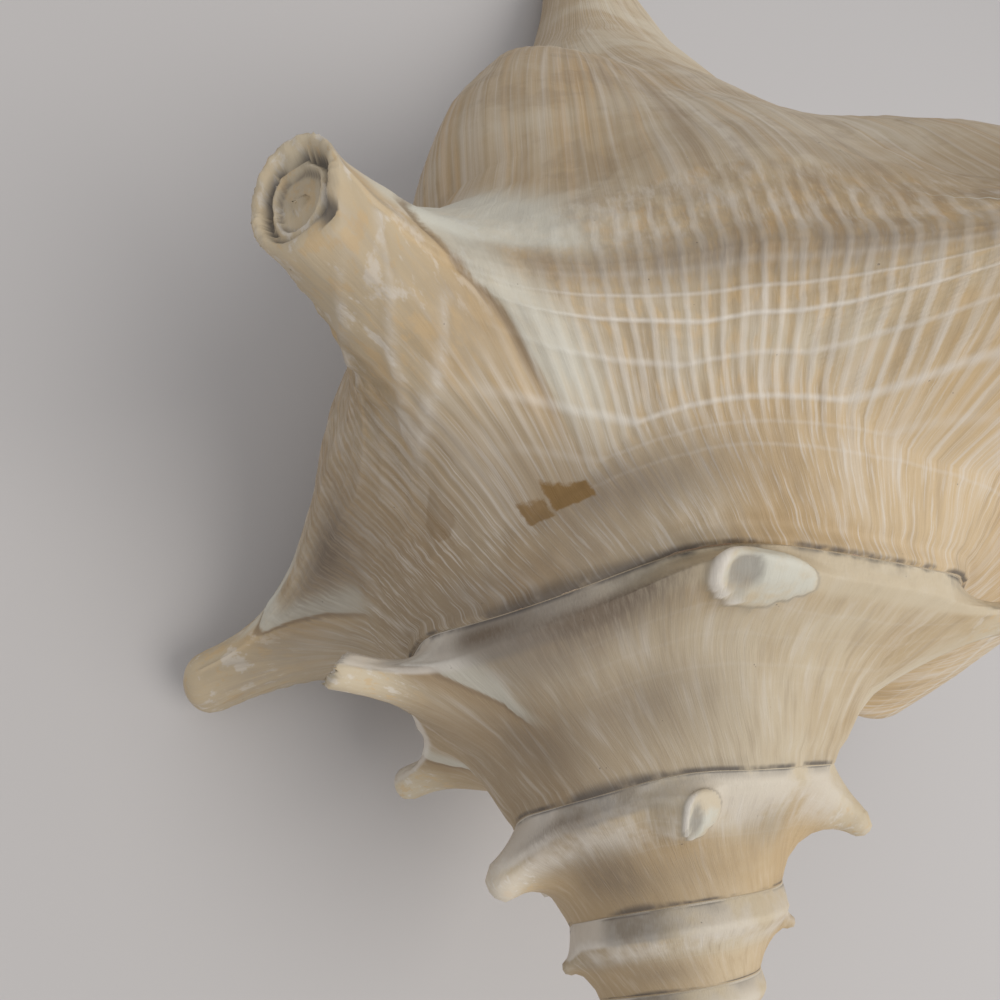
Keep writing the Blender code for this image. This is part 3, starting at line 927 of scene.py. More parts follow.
@dataclass
class RestPose:
    """How the shell lies: turned onto its canal, lip and belly."""

    pitch: float = -11.5           # degrees about X
    roll: float = -27.5            # degrees about Y
    margin: float = 0.0004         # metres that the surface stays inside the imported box

    def turning(self) -> Array:
        """Rotation from the shell's own frame to the row frame."""
        pitch = Matrix.Rotation(math.radians(self.pitch), 3, "X")
        roll = Matrix.Rotation(math.radians(self.roll), 3, "Y")
        return np.array(pitch @ roll)

    def fit(self, points: Array) -> tuple[Array, Array, Array]:
        """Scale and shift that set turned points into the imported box.

        Args:
            points: the surface in the shell's own frame.

        Returns:
            The scale factors, the shift, and the placed points in metres.
        """
        turned = points @ self.turning().T * UNIT
        low, high = turned.min(axis=0), turned.max(axis=0)
        box_low = np.array(CAD_BOX[0]) + self.margin
        box_high = np.array(CAD_BOX[1]) - self.margin
        box_low[2] = CAD_BOX[0][2]
        scale = np.minimum(1.0, (box_high - box_low) / (high - low))
        shift = (box_low + box_high) / 2 - (low + high) / 2 * scale
        shift[2] = box_low[2] - low[2] * scale[2]
        placed = turned * scale + shift
        placed[:, 2] = np.maximum(placed[:, 2], box_low[2])
        return scale, shift, placed


@dataclass
class WornScar:
    """Masks of the places where spines are ground away."""

    inside: Array
    rim: Array
    facet: Array
    ahead: ClassVar[float] = 0.30          # how far ahead of the spine its middle lies, in half widths
    half_length: ClassVar[float] = 0.46    # in half widths of the spine
    above: ClassVar[float] = 0.19          # how far it reaches up and down, in rows
    below: ClassVar[float] = 0.50
    narrowing: ClassVar[float] = 0.45      # how much narrower it gets ahead

    @classmethod
    def on(cls, places: SurfacePlaces, spines: tuple[Spine, ...]) -> "WornScar":
        """Masks of all worn spines together.

        Args:
            places: the outer surface's points.
            spines: the spines.

        Returns:
            The masks.
        """
        scar = cls(*np.zeros((3, len(places.row))))
        for spine in spines:
            if spine.form is not TipForm.WORN:
                continue
            ahead = (places.turn - spine.turn) * 360.0 / spine.half_width
            ahead = (ahead - cls.ahead) / cls.half_length
            down = places.row - spine.row + 0.04
            taper = 1.0 - cls.narrowing * np.clip(ahead, 0.0, 1.0)
            down = down / (np.where(down > 0, cls.below, cls.above) * taper)
            ring = np.hypot(ahead, down)
            scar.inside += ease((1.16 - ring) / 0.30)
            scar.rim += bump_at(ring, 0.92, 0.13) * np.clip(0.25 - ahead, 0.12, 1.0)
            scar.facet += ease((1.0 - np.hypot((ahead + 0.42) / 0.34, (down + 0.05) / 0.62)) / 0.3)
        return scar


@dataclass
class Relief:
    """Low relief carved into the outer surface. Heights are in shell units."""

    form: GrowthForm
    ribs_per_turn: float = 195.0
    rib_height: float = 0.0020
    rib_drift: float = 1.8         # how far the ribs stray, in radians
    cord_rows: Table = ((1.08, 0.030, 0.8), (0.945, 0.018, 0.9), (0.815, 0.018, 1.0), (0.670, 0.018, 0.8),
                        (0.518, 0.016, 0.9), (0.430, 0.012, 0.5), (0.350, 0.012, 0.5), (1.30, 0.05, 0.6),
                        (1.62, 0.06, 0.6))
    cord_height: float = 0.005
    cord_wander: float = 0.006     # in rows
    lump_height: float = 0.010
    lump_scale: float = 5.0        # lumps in a shell unit
    grain_height: float = 0.0035
    grain_scale: float = 22.0
    swell_height: float = 0.016    # of the uneven side of the body whorl
    swell_scale: float = 2.6
    old_unevenness: float = 0.012  # of the older whorls
    old_scale: float = 7.0
    body_start: float = 1.02       # turns before the lip where the body's own relief starts
    body_blend: float = 0.04
    lip_fade: float = 0.05         # turns over which relief fades towards the lip
    plain_canal: float = 2.6       # row from which growth lines keep to the canal's own turn
    smooth_tip: float = 0.66       # closeness to a spine's tip from which it is smooth
    smooth_blend: float = 0.06
    bead_height: float = 0.009     # of the bead along the suture
    bead_grain: float = 0.004
    groove_depth: float = 0.008    # of the groove below the bead
    facet_height: float = 0.007
    wrinkle_height: float = 0.0040
    wrinkles: float = 15.0         # rings of wrinkles from a spine's foot to its tip
    fold_height: float = 0.008
    seam_depth: float = 0.008
    seam_bead: float = 0.007
    scar_swell: float = 0.018
    scar_rim: float = 0.026
    scar_facet: float = 0.020
    set_back: float = 0.004        # how far the whole surface steps in to make room
    sweep: Curve = ((0.0, 0.0), (0.1, 2.0), (0.2, 4.2), (0.35, 7.0), (0.5, 9.0), (0.65, 10.2),
                    (0.8, 10.9), (1.0, 11.3), (2.0, 11.8), (3.0, 12.5))
    noise: Noise = Noise(23)

    def growth(self, places: SurfacePlaces) -> Array:
        """Growth time of each point in turns.

        A growth line keeps to a half plane through the shell's axis, but sweeps back from the
        suture to the keel.

        Args:
            places: the outer surface's points.

        Returns:
            The time at which each point was the shell's edge.
        """
        across, _, out = places.points.T
        angle = np.arctan2(across, out) / (2 * math.pi)
        aside = (angle - places.turn + 0.5) % 1.0 - 0.5
        swept = places.turn + np.where(places.row < self.plain_canal, aside, 0.0)
        return swept + curve_through(self.sweep, places.row) / 360.0

    def cords(self, row: Array, growth: Array, lumps: Array, body: Array) -> Array:
        """Spiral cords.

        Args:
            row: rows.
            growth: growth times.
            lumps: the broad unevenness.
            body: 1 on the body whorl.

        Returns:
            Strength of the cords.
        """
        cords = np.zeros(len(row))
        for place, width, strength in self.cord_rows:
            wander = self.noise.plane(growth * 9, np.full_like(row, place * 31))
            cords += strength * bump_at(row + self.cord_wander * wander, place, width)
        old = 1 - ease((row - 0.80) / 0.15)
        return cords * (0.75 + 0.35 * lumps) * (body + (1 - body) * old)

    def ribs(self, row: Array, growth: Array, body: Array) -> Array:
        """Growth ribs, strongest on the upper ramp and ahead of the ringed spine.

        Args:
            row: rows.
            growth: growth times.
            body: 1 on the body whorl.

        Returns:
            Waves of the ribs.
        """
        drift = self.noise.plane(growth * 60, row * 1.5)
        ribs = np.sin(2 * math.pi * self.ribs_per_turn * growth + self.rib_drift * drift)
        strength = 0.35 + 0.65 * ease((row - 0.30) / 0.35)
        strength *= 1 - 0.6 * ease((row - 1.05) / 0.4)
        strength *= (0.3 + 0.7 * ease((growth * 360.0 + 34.0) / 16.0)) * (0.3 + 0.7 * body)
        return ribs * strength

    def height(self, places: SurfacePlaces, growth: Array) -> Array:
        """Relief height at each point.

        Args:
            places: the outer surface's points.
            growth: their growth times.

        Returns:
            Heights, outward positive.
        """
        row, turn = places.row, places.turn
        to_lip = self.form.lip_turn - turn
        scale = np.clip(self.form.suture(np.minimum(turn, self.form.lip_turn))[0], 0.05, 1.0)
        rough = 1 - 0.75 * ease((places.near - self.smooth_tip) / self.smooth_blend)
        lumps = self.noise(places.points, self.lump_scale) * rough
        grain = self.noise(places.points, self.grain_scale) * rough
        body = ease((self.body_start - to_lip) / self.body_blend)
        on_spine = ease((places.near - 0.18) / 0.3)
        height = self.cord_height * self.cords(row, growth, lumps, body) * (1 - on_spine)
        height += self.rib_height * self.ribs(row, growth, body) * (1 - 0.8 * on_spine)
        height += self.lump_height * lumps * (0.4 + 0.6 * on_spine) + self.grain_height * grain
        swell = ease((row - 1.25) / 0.4) * (1 - ease((row - 2.6) / 0.3)) * body
        swell = swell * (1 - ease(places.near / 0.3))
        height += self.swell_height * swell * (1 + self.noise(places.points, self.swell_scale))
        height += self.old_unevenness * (1 - body) * self.noise(places.points, self.old_scale)
        height += bump_at(row, 0.018, 0.022) * (self.bead_height + self.bead_grain * grain)
        height -= self.groove_depth * bump_at(row, 0.075, 0.03)
        height += self.spine_relief(places)
        return height * scale * ease(to_lip / self.lip_fade) - self.set_back * scale

    def spine_relief(self, places: SurfacePlaces) -> Array:
        """Facets, folds, wrinkles, seams and scars of the spines.

        Args:
            places: the outer surface's points.

        Returns:
            Heights, outward positive.
        """
        flank = ease((places.near - 0.12) / 0.2)
        flank *= 1 - ease((places.near - self.smooth_tip) / self.smooth_blend)
        facets = np.maximum(0.0, np.sin(5 * places.round_axis + 3.0 * places.near)) ** 3
        height = self.facet_height * flank * facets
        behind = ease(-places.ahead / 6.0)
        wave = 2 * math.pi * self.wrinkles * places.near + 0.8 * np.sin(3 * places.round_axis)
        height += self.wrinkle_height * flank * behind * np.sin(wave)
        height += self.fold_height * places.fold
        along = ease((places.row - 0.42) / 0.12) * (1 - ease((places.row - 1.5) / 0.3))
        groove = self.seam_depth * bump_at(places.seam, 0.0, 0.6)
        height += (self.seam_bead * bump_at(places.seam, 2.0, 1.8) - groove) * along
        scar = WornScar.on(places, self.form.spines)
        worn = self.scar_rim * scar.rim - self.scar_facet * scar.facet + self.scar_swell * scar.inside
        return height * (1 - scar.inside) + worn


@dataclass
class ConchShell:
    """The whole shell as one mesh."""

    form: GrowthForm = GrowthForm()
    mouth: Mouth = field(default_factory=Mouth)
    rest: RestPose = field(default_factory=RestPose)
    apex_height: float = 0.8       # height of the cone that closes the first turn, in its radii
    canal_tip: float = 0.10        # height of the cone that closes the canal's end
    pointed: float = 0.12          # length in shell units from which a spine's own finish shows fully
    beside_seam: float = 7.0       # degrees to each side that a seam's own finish reaches
    beside_blend: float = 2.0
    scale: Array = field(default_factory=lambda: np.ones(3))
    shift: Array = field(default_factory=lambda: np.zeros(3))

    def wind(self, draft: MeshDraft, plan: GridPlan) -> tuple[list[list[int]], Array, int, Array, int]:
        """Wind the band from the apex to the lip.

        Args:
            draft: the empty mesh draft.
            plan: the grid's columns and rows.

        Returns:
            Vertex numbers of every column, the columns' turns, the number of the first body column,
            the body's rows, and the number of the row on the covered suture.
        """
        turns = plan.turns()
        body_start = int(np.argmin(np.abs(turns - (self.form.lip_turn - 1.0))))
        rows = plan.body_rows()
        join = int(np.argmin(np.abs(rows - 2.0)))
        all_rows = [plan.rows_at(turn) for turn in turns]
        columns = [draft.add(np.zeros((len(own), 3)), turn, own, Zone.OUTSIDE)
                   for turn, own in zip(turns, all_rows)]
        columns[body_start][join] = columns[-1][0]
        for number in range(len(turns) - 1):
            second, second_rows = columns[number + 1], all_rows[number + 1]
            if number + 1 == body_start:
                second, second_rows = second[:join], second_rows[:join]
            draft.stitch(columns[number], all_rows[number], second, second_rows)
        low_chain = [columns[n][-1] for n in range(body_start)] + [columns[body_start][join - 1]]
        above = turns >= turns[0] + 1.0 - SAME_TURN
        suture_chain = [column[0] for column, used in zip(columns, above) if used]
        draft.stitch(low_chain, turns[:body_start + 1], suture_chain, turns[above] - 1.0)
        draft.face([low_chain[-1], columns[body_start][join], suture_chain[-1]])
        return columns, turns, body_start, rows, join

    def close_ends(self, draft: MeshDraft, columns: list[list[int]], turns: Array, body_start: int,
                   rim: list[list[int]]) -> None:
        """Close the apex and the canal's end by low cones.

        Args:
            draft: the mesh so far.
            columns: vertex numbers of every column.
            turns: the columns' turns.
            body_start: number of the first body column.
            rim: the chains of the lip's rim.
        """
        ring = [columns[n][0] for n in range(len(turns)) if turns[n] <= turns[0] + 1.0 + SAME_TURN]
        ring += columns[0][1:][::-1]
        radius, depth = self.form.suture(self.form.first_turn)
        point = np.array([[0.0, float(depth - self.apex_height * radius), 0.0]])
        draft.fan(draft.add(point, turns[0], np.array([0.5]), Zone.OUTSIDE)[0], ring[::-1])
        end = [column[-1] for column in columns[body_start:]]
        centre = np.concatenate(draft.points)[end].mean(axis=0) + np.array((0.0, self.canal_tip, 0.0))
        draft.fan(draft.add(centre[None, :], self.form.lip_turn, np.array([3.0]), Zone.OUTSIDE)[0], end)
        draft.face([chain[-1] for chain in rim] + [end[0]])

    def build(self) -> bpy.types.Object:
        """Make the shell's object.

        Returns:
            The object, placed in the row frame.
        """
        draft = MeshDraft()
        columns, turns, body_start, rows, join = self.wind(draft, GridPlan(self.form))
        places = SpineRaiser(self.form).raise_all(np.concatenate(draft.turns), np.concatenate(draft.rows))
        start = 0
        for part in draft.points:
            part[:] = places.points[start:start + len(part)]
            start += len(part)
        rim = self.mouth.build(self.form, draft, columns[-1], columns[body_start][join:], rows, join)
        self.close_ends(draft, columns, turns, body_start, rim)
        points = np.concatenate(draft.points)
        mesh = self.closed_mesh(points, draft.faces)
        normals = np.zeros(len(points) * 3)
        mesh.vertices.foreach_get("normal", normals)
        relief = Relief(self.form)
        growth = relief.growth(places)
        points[:len(growth)] += normals.reshape(-1, 3)[:len(growth)] * relief.height(places, growth)[:, None]
        self.scale, self.shift, placed = self.rest.fit(points)
        mesh.vertices.foreach_set("co", placed.ravel())
        self.store(mesh, draft, places, growth)
        mesh.update()
        mesh.shade_smooth()
        shell = link_object("conch_shell", mesh)
        self.drop_loose(mesh)
        return shell

    @staticmethod
    def closed_mesh(points: Array, faces: list[tuple[int, ...]]) -> bpy.types.Mesh:
        """Mesh with all faces turned outward.

        Args:
            points: the vertices' places.
            faces: vertex numbers of each face.

        Returns:
            The mesh.
        """
        mesh = bpy.data.meshes.new("conch_shell")
        mesh.from_pydata(points.tolist(), [], faces)
        body = bmesh.new()
        body.from_mesh(mesh)
        bmesh.ops.recalc_face_normals(body, faces=body.faces)
        body.to_mesh(mesh)
        body.free()
        mesh.update()
        return mesh

    @staticmethod
    def drop_loose(mesh: bpy.types.Mesh) -> None:
        """Remove vertices that no face uses, and report the mesh.

        Args:
            mesh: the mesh, changed in place.
        """
        body = bmesh.new()
        body.from_mesh(mesh)
        loose = [vertex for vertex in body.verts if not vertex.link_faces]
        bmesh.ops.delete(body, geom=loose, context="VERTS")
        open_edges = sum(1 for edge in body.edges if len(edge.link_faces) != 2)
        LOG.info("conch_shell: %d faces, %d open edges", len(body.faces), open_edges)
        body.to_mesh(mesh)
        body.free()

    def store(self, mesh: bpy.types.Mesh, draft: MeshDraft, places: SurfacePlaces, growth: Array) -> None:
        """Keep each vertex's place on the shell as named attributes.

        Args:
            mesh: the shell's mesh.
            draft: the draft, with the turns, rows and zones of all its vertices.
            places: the outer surface's points, which come first.
            growth: their growth times.
        """
        turns = np.concatenate(draft.turns)
        known = len(growth)
        spine_length = np.array([spine.length for spine in self.form.spines] + [0.0])[places.which]
        scar = WornScar.on(places, self.form.spines)
        values = {
            "growth": np.append(growth, turns[known:]),
            "row": np.concatenate(draft.rows),
            "turn": turns,
            "hollow": np.concatenate(draft.zones) == Zone.HOLLOW.value,
            "near": places.near * ease(spine_length / self.pointed),
            "seam": places.seam,
            "fold": places.fold,
            "beside": 1 - ease((np.abs(places.seam) - self.beside_seam) / self.beside_blend),
            "side": (growth + 0.5) % 1.0 * 360.0 - 180.0,
            # painted shade and grime of the spines' mouths
            "dark": places.hollow,
            "worn": scar.inside,
            "rim": scar.rim,
            "facet": scar.facet,
        }
        for name, value in values.items():
            data = np.zeros(draft.count, np.float32)
            data[:len(value)] = value
            mesh.attributes.new(name, "FLOAT", "POINT").data.foreach_set("value", data)


# ---------------------------------------------------------------- shader expressions

class Value:
    """One socket of a node tree, on which arithmetic adds Math nodes."""

    def __init__(self, sketch: "Sketch", socket: bpy.types.NodeSocket) -> None:
        """Wrap a socket."""
        self.sketch = sketch
        self.socket = socket

    def math(self, operation: str, *others: "Value | float", swap: bool = False) -> "Value":
        """Add a Math node that takes this value and others.

        Args:
            operation: what the node does.
            others: the values after this one.
            swap: whether this value comes last instead.

        Returns:
            The result.
        """
        terms = [self, *others]
        if swap:
            terms.reverse()
        return self.sketch.node("ShaderNodeMath", {"operation": operation}, dict(enumerate(terms)))

    def __add__(self, other: "Value | float") -> "Value":
        """Sum."""
        return self.math("ADD", other)

    __radd__ = __add__

    def __sub__(self, other: "Value | float") -> "Value":
        """Difference."""
        return self.math("SUBTRACT", other)

    def __rsub__(self, other: "Value | float") -> "Value":
        """Reflected difference."""
        return self.math("SUBTRACT", other, swap=True)

    def __mul__(self, other: "Value | float") -> "Value":
        """Product."""
        return self.math("MULTIPLY", other)

    __rmul__ = __mul__

    def sine(self) -> "Value":
        """Sine."""
        return self.math("SINE")

    def size(self) -> "Value":
        """Absolute value."""
        return self.math("ABSOLUTE")

    def least(self, other: "Value | float") -> "Value":
        """The smaller."""
        return self.math("MINIMUM", other)

    def most(self, other: "Value | float") -> "Value":
        """The larger."""
        return self.math("MAXIMUM", other)

    def between(self, low: "Value | float", high: "Value | float") -> "Value":
        """Smooth step from 0 at low to 1 at high."""
        return self.sketch.node("ShaderNodeMapRange", {"interpolation_type": "SMOOTHSTEP"},
                                {"Value": self, "From Min": low, "From Max": high})

    def hill(self, centre: float, width: float) -> "Value":
        """Rounded hill of height 1 round a centre."""
        return 1.0 - ((self - centre) * (1.0 / width)).size().between(0.0, 1.0)

    def band(self, low: float, high: float, soft: float) -> "Value":
        """1 between two limits, with soft edges."""
        return self.between(low - soft, low + soft) * (1.0 - self.between(high - soft, high + soft))


class Sketch:
    """The node tree of a material or a world."""

    def __init__(self, owner: bpy.types.Material | bpy.types.World) -> None:
        """Start on the owner's own nodes."""
        owner.use_nodes = True
        self.tree = owner.node_tree

    def node(self, kind: str, settings: dict, inputs: dict, output: int | str = 0) -> Value:
        """Add any node.

        Args:
            kind: the node's type.
            settings: values set on the node before its sockets.
            inputs: values or links of its sockets, by name or number.
            output: which output to hand back.

        Returns:
            The output as a value.
        """
        node = self.tree.nodes.new(kind)
        for key, value in settings.items():
            setattr(node, key, value)
        self.fill(node, inputs)
        return Value(self, node.outputs[output])

    def fill(self, node: bpy.types.Node, inputs: dict) -> None:
        """Set or link a node's sockets.

        Args:
            node: the node.
            inputs: values or links of its sockets, by name or number.
        """
        for key, value in inputs.items():
            if isinstance(value, Value):
                self.tree.links.new(value.socket, node.inputs[key])
            else:
                node.inputs[key].default_value = value

    def attribute(self, name: str) -> Value:
        """A named attribute's value."""
        return self.node("ShaderNodeAttribute", {"attribute_name": name}, {}, "Fac")

    def place(self) -> Value:
        """Object coordinates."""
        return self.node("ShaderNodeTexCoord", {}, {}, "Object")

    def vector(self, x: Value | float, y: Value | float, z: Value | float) -> Value:
        """A vector of three values."""
        return self.node("ShaderNodeCombineXYZ", {}, {0: x, 1: y, 2: z})

    def noise(self, where: Value, scale: float, detail: float = 3.0, rough: float = 0.55,
              twist: float = 0.0) -> Value:
        """Noise from 0 to 1."""
        return self.node("ShaderNodeTexNoise", {}, {"Vector": where, "Scale": scale, "Detail": detail,
                                                    "Roughness": rough, "Distortion": twist}, "Fac")

    def mix(self, share: Value | float, first: Value | Colour, second: Value | Colour) -> Value:
        """Blend two colours."""
        sides = [colour if isinstance(colour, Value) else (*colour, 1.0) for colour in (first, second)]
        return self.node("ShaderNodeMix", {"data_type": "RGBA"}, {0: share, 6: sides[0], 7: sides[1]}, 2)


def tone(red: int, green: int, blue: int) -> Colour:
    """Linear colour from screen values of 0 to 255.

    Args:
        red: red share.
        green: green share.
        blue: blue share.

    Returns:
        The colour as a shader takes it.
    """
    shares = [value / 255.0 for value in (red, green, blue)]
    return tuple(v / 12.92 if v <= 0.04045 else ((v + 0.055) / 1.055) ** 2.4 for v in shares)


# ---------------------------------------------------------------- finishes

Coat = tuple[Value, Value | float, Value | Colour]   # mask, strength and tint


class ShellMap:
    """The shell's stored places, with the masks and noises that its coats share."""

    def __init__(self, sketch: Sketch, cords: Table) -> None:
        """Read the places and add the masks and noises.

        Args:
            sketch: the material's sketch.
            cords: row, width in rows and strength of each spiral cord.
        """
        self.sketch = sketch
        self.growth = sketch.attribute("growth")
        self.row = sketch.attribute("row")
        self.turn = sketch.attribute("turn")
        self.side = sketch.attribute("side")
        self.near = sketch.attribute("near")
        self.worn = sketch.attribute("worn")
        self.degrees = self.growth * 360.0
        place = sketch.place()
        wobble = self.streaked(60.0, 2.0, 0.0, 2.0, 0.5) - 0.5
        self.broad = self.streaked(110.0, 2.0, 7.0, 2.0, 0.6)
        self.streaks = self.streaked(170.0, 3.5, 11.0, 3.0, 0.6)
        self.cells = self.streaked(260.0, 8.0, 5.0, 2.0, 0.6)
        self.hatch = self.streaked(620.0, 4.0, 3.0, 3.0, 0.65)
        along_spine = sketch.vector(self.growth * 240.0, self.near * 9.0, self.row * 3.0)
        self.flecks = sketch.noise(along_spine, 1.0, 4.0, 0.65)
        self.clouds = sketch.noise(place, 45.0, 4.0, 0.55, 0.3)
        self.blots = sketch.noise(place, 140.0, 4.0, 0.6)
        self.grain = sketch.noise(place, 1100.0, 3.0, 0.6)
        self.specks = sketch.noise(place, 1500.0, 1.0, 0.5).between(0.80, 0.84)
        body_start = GrowthForm.lip_turn - 1.0
        self.body = self.turn.between(body_start - 0.02, body_start + 0.02)
        self.old = 1.0 - self.body
        self.clear = (1.0 - self.near.between(0.10, 0.34)) * (1.0 - self.worn)
        net = 0.35 + 0.65 * self.degrees.between(-36.0, -18.0)
        crisp = self.row.between(0.30, 0.60) * (1.0 - self.row.between(1.05, 1.25) * 0.30)
        self.crisp = crisp * (1.0 - self.row.between(1.45, 1.95) * 0.75) * (0.30 + 0.70 * self.body) * net
        self.ribs = (self.growth * (2 * math.pi * Relief.ribs_per_turn) + wobble * 5.0).sine()
        wandering = self.row + wobble * 0.02
        mask: Value | float = 0.0
        for row, width, strength in cords:
            mask = wandering.hill(row, width * 1.6) * strength + mask
        mask = mask.least(1.0) * self.clear * net * (0.15 + 0.85 * self.side.between(-17.0, -8.0))
        self.cords = mask * (self.body + self.old * (1.0 - self.row.between(0.78, 0.90)) * 0.45)

    def streaked(self, across: float, down: float, layer: float, detail: float, rough: float) -> Value:
        """Noise drawn out along the growth lines.

        Args:
            across: lumps in one growth turn.
            down: lumps in one row.
            layer: place in the third direction, its own for each noise.
            detail: octaves of detail.
            rough: strength of the finer octaves.

        Returns:
            Noise from 0 to 1.
        """
        where = self.sketch.vector(self.growth * across, self.row * down, layer)
        return self.sketch.noise(where, 1.0, detail, rough)


@dataclass(frozen=True)
class WeatheredShell:
    """Sun-bleached shell: tan cells between pale ribs and white cords, with seams, grime and painted shade.

    Each group of coats is a list of masks, strengths and tints, laid on in that order. Sides are
    degrees round the shell from the middle of its back, and rows run down the profile.
    """

    cream: Colour = tone(204, 189, 161)
    white: Colour = tone(216, 208, 196)
    cool_white: Colour = tone(208, 206, 192)
    tan: Colour = tone(184, 161, 124)
    orange: Colour = tone(203, 171, 122)
    umber: Colour = tone(138, 116, 88)
    # brown of the stains, also laid as painted shade
    stain_and_shade_brown: Colour = tone(112, 97, 80)
    ochre_wash: Colour = tone(186, 148, 92)
    ochre: Colour = tone(120, 90, 42)
    grey: Colour = tone(134, 126, 116)
    # dark grey of dirt, also laid as painted shade in the spines' mouths
    dirt_and_shade: Colour = tone(72, 66, 62)
    pink: Colour = tone(222, 172, 150)
    cords: Table = (               # row, width in rows, strength
        (1.08, 0.025, 0.35), (0.945, 0.012, 0.60), (0.815, 0.011, 0.85), (0.670, 0.011, 0.55),
        (0.518, 0.012, 0.70), (0.430, 0.008, 0.25), (0.350, 0.008, 0.25))
    ochre_patches: Table = (       # degrees from and to, rows from and to, strength
        (-12.5, -6.5, 0.315, 0.385, 0.95), (-17.0, -13.0, 0.300, 0.360, 0.80),
        (-32.5, -26.0, 0.395, 0.465, 0.35))
    brown_stains_and_shade: Table = (        # whorl, side and reach, row and reach, strength; partly real brown stains, partly painted shade on flanks and keels turned from the lamp
        (0, -2.0, 28.0, 0.30, 0.24, 0.65), (0, -58.0, 28.0, 0.80, 0.45, 0.85),
        (0, 16.0, 52.0, 1.14, 0.28, 0.62), (0, -24.0, 34.0, 0.10, 0.16, 0.45),
        (0, -14.0, 13.0, 0.72, 0.22, 0.35), (-1, -2.0, 34.0, 0.40, 0.40, 0.45),
        (-1, -4.0, 30.0, 1.10, 0.55, 0.90), (-1, -33.0, 20.0, 0.36, 0.40, 0.50),
        (-1, -25.0, 15.0, 1.55, 0.45, 0.90), (-2, 6.0, 44.0, 0.30, 0.40, 0.32),
        (-2, -26.0, 30.0, 0.34, 0.50, 0.65), (-2, 45.0, 22.0, 0.55, 0.40, 0.35),
        (-2, -34.0, 26.0, 1.20, 0.55, 0.60), (-3, -10.0, 40.0, 0.30, 0.40, 0.40),
        (0, -86.0, 22.0, 0.70, 0.45, 0.45))
    shaded_side: float = -44.0     # the greyest side of every whorl, turned from the lamp: painted shade, partly real brown patina
    shaded_width: float = 98.0
    dirty_side: float = -22.0      # the side with the most dirt in its sutures
    dirty_width: float = 30.0
    roughness: float = 0.48
    lining_roughness: float = 0.22
    relief_strength: float = 0.5
    relief_height: float = 0.0004  # metres

    def material(self) -> bpy.types.Material:
        """Build the finish.

        Returns:
            The material.
        """
        material = bpy.data.materials.new("weathered_shell")
        sketch = Sketch(material)
        at = ShellMap(sketch, self.cords)
        colour = sketch.mix(at.clouds.between(0.40, 0.62), self.tan, self.cream)
        for coats in (self.ground, self.spines, self.seams, self.old_walls, self.stain_and_shade_coats, self.patches,
                      self.scars, self.specks):
            for mask, strength, tint in coats(at):
                colour = sketch.mix(mask * strength, colour, tint)
        lining = sketch.mix(at.clouds.between(0.3, 0.7), self.pink, self.cream)
        hollow = sketch.attribute("hollow")
        rough = self.roughness + 0.22 * at.grain - 0.10 * at.cords
        relief = (at.ribs * at.crisp * at.clear * 0.15 + at.hatch * 0.40 + at.broad * 0.15 + at.blots * 0.20
                  + at.grain * 0.10 + at.cords * 0.25 - at.specks * 0.3) * (1.0 - hollow)
        bump = sketch.node("ShaderNodeBump", {}, {"Strength": self.relief_strength, "Height": relief,
                                                  "Distance": self.relief_height}, "Normal")
        sketch.fill(sketch.tree.nodes["Principled BSDF"], {
            "Base Color": sketch.mix(hollow, colour, lining),
            "Roughness": rough * (1.0 - hollow) + hollow * self.lining_roughness,
            "Normal": bump,
        })
        return material

    def ground(self, at: ShellMap) -> list[Coat]:
        """Painted shade on the side of every whorl turned from the lamp and past the body's keel, partly
        real brown patina, with cells, ribs and fine lines along the growth lines.

        Args:
            at: the shell's map.

        Returns:
            The coats.
        """
        low = (1.0 - at.row.between(0.40, 0.75)) * at.clear
        # rows past the body's keel; the umber laid there is painted shade where the surface turns from the
        # lamp
        away = at.row.between(0.90, 1.15) * (1.0 - at.row.between(2.2, 2.5)) * at.body
        # painted shade: umber on the side of every whorl turned from the lamp, partly real brown patina
        shaded = at.side.hill(self.shaded_side, self.shaded_width) * (0.60 + 0.16 * low)
        shaded = shaded.most(away * 0.38) * (1.0 - at.near.between(0.25, 0.60))
        fine = 0.45 + 0.55 * at.body
        return [
            (at.side.between(2.0, 16.0) * low * at.body, 0.62, self.orange),
            # painted shade, laid in umber
            (shaded, 1.0, self.umber),
            (at.broad.between(0.50, 0.70), 0.28 + away * 0.25, self.umber),
            (at.broad.between(0.50, 0.30) * at.clear, 0.30, self.white),
            (at.cells.between(0.45, 0.68) * at.crisp, 0.45, self.orange),
            (at.streaks.between(0.52, 0.68) * away, 0.35, self.ochre_wash),
            (at.blots.between(0.50, 0.62) * away, 0.30, self.umber),
            (at.streaks.between(0.46, 0.30) * away, 0.22, self.white),
            (at.ribs.between(-0.1, 1.0) * at.crisp * at.clear, 0.45, self.white),
            (at.hatch.between(0.50, 0.66) * low * at.body, 0.34, self.white),
            (at.hatch.between(0.48, 0.74) * fine, 0.28, self.white),
            (at.hatch.between(0.50, 0.28) * fine, 0.18, self.umber),
        ]

    def spines(self, at: ShellMap) -> list[Coat]:
        """Cream spines with orange and white flecks, white cords and folds.

        Args:
            at: the shell's map.

        Returns:
            The coats.
        """
        on_spine = at.near.between(0.20, 0.45)
        fold = at.sketch.attribute("fold")
        return [
            (at.near.between(0.20, 0.60), 0.50, self.cream),
            (on_spine * at.flecks.between(0.54, 0.64), 0.50, self.orange),
            (on_spine * at.flecks.between(0.46, 0.36), 0.60, self.white),
            (at.cords, 0.75, self.white),
            (fold, 0.20 + at.flecks.between(0.60, 0.40) * 0.35, self.white),
        ]

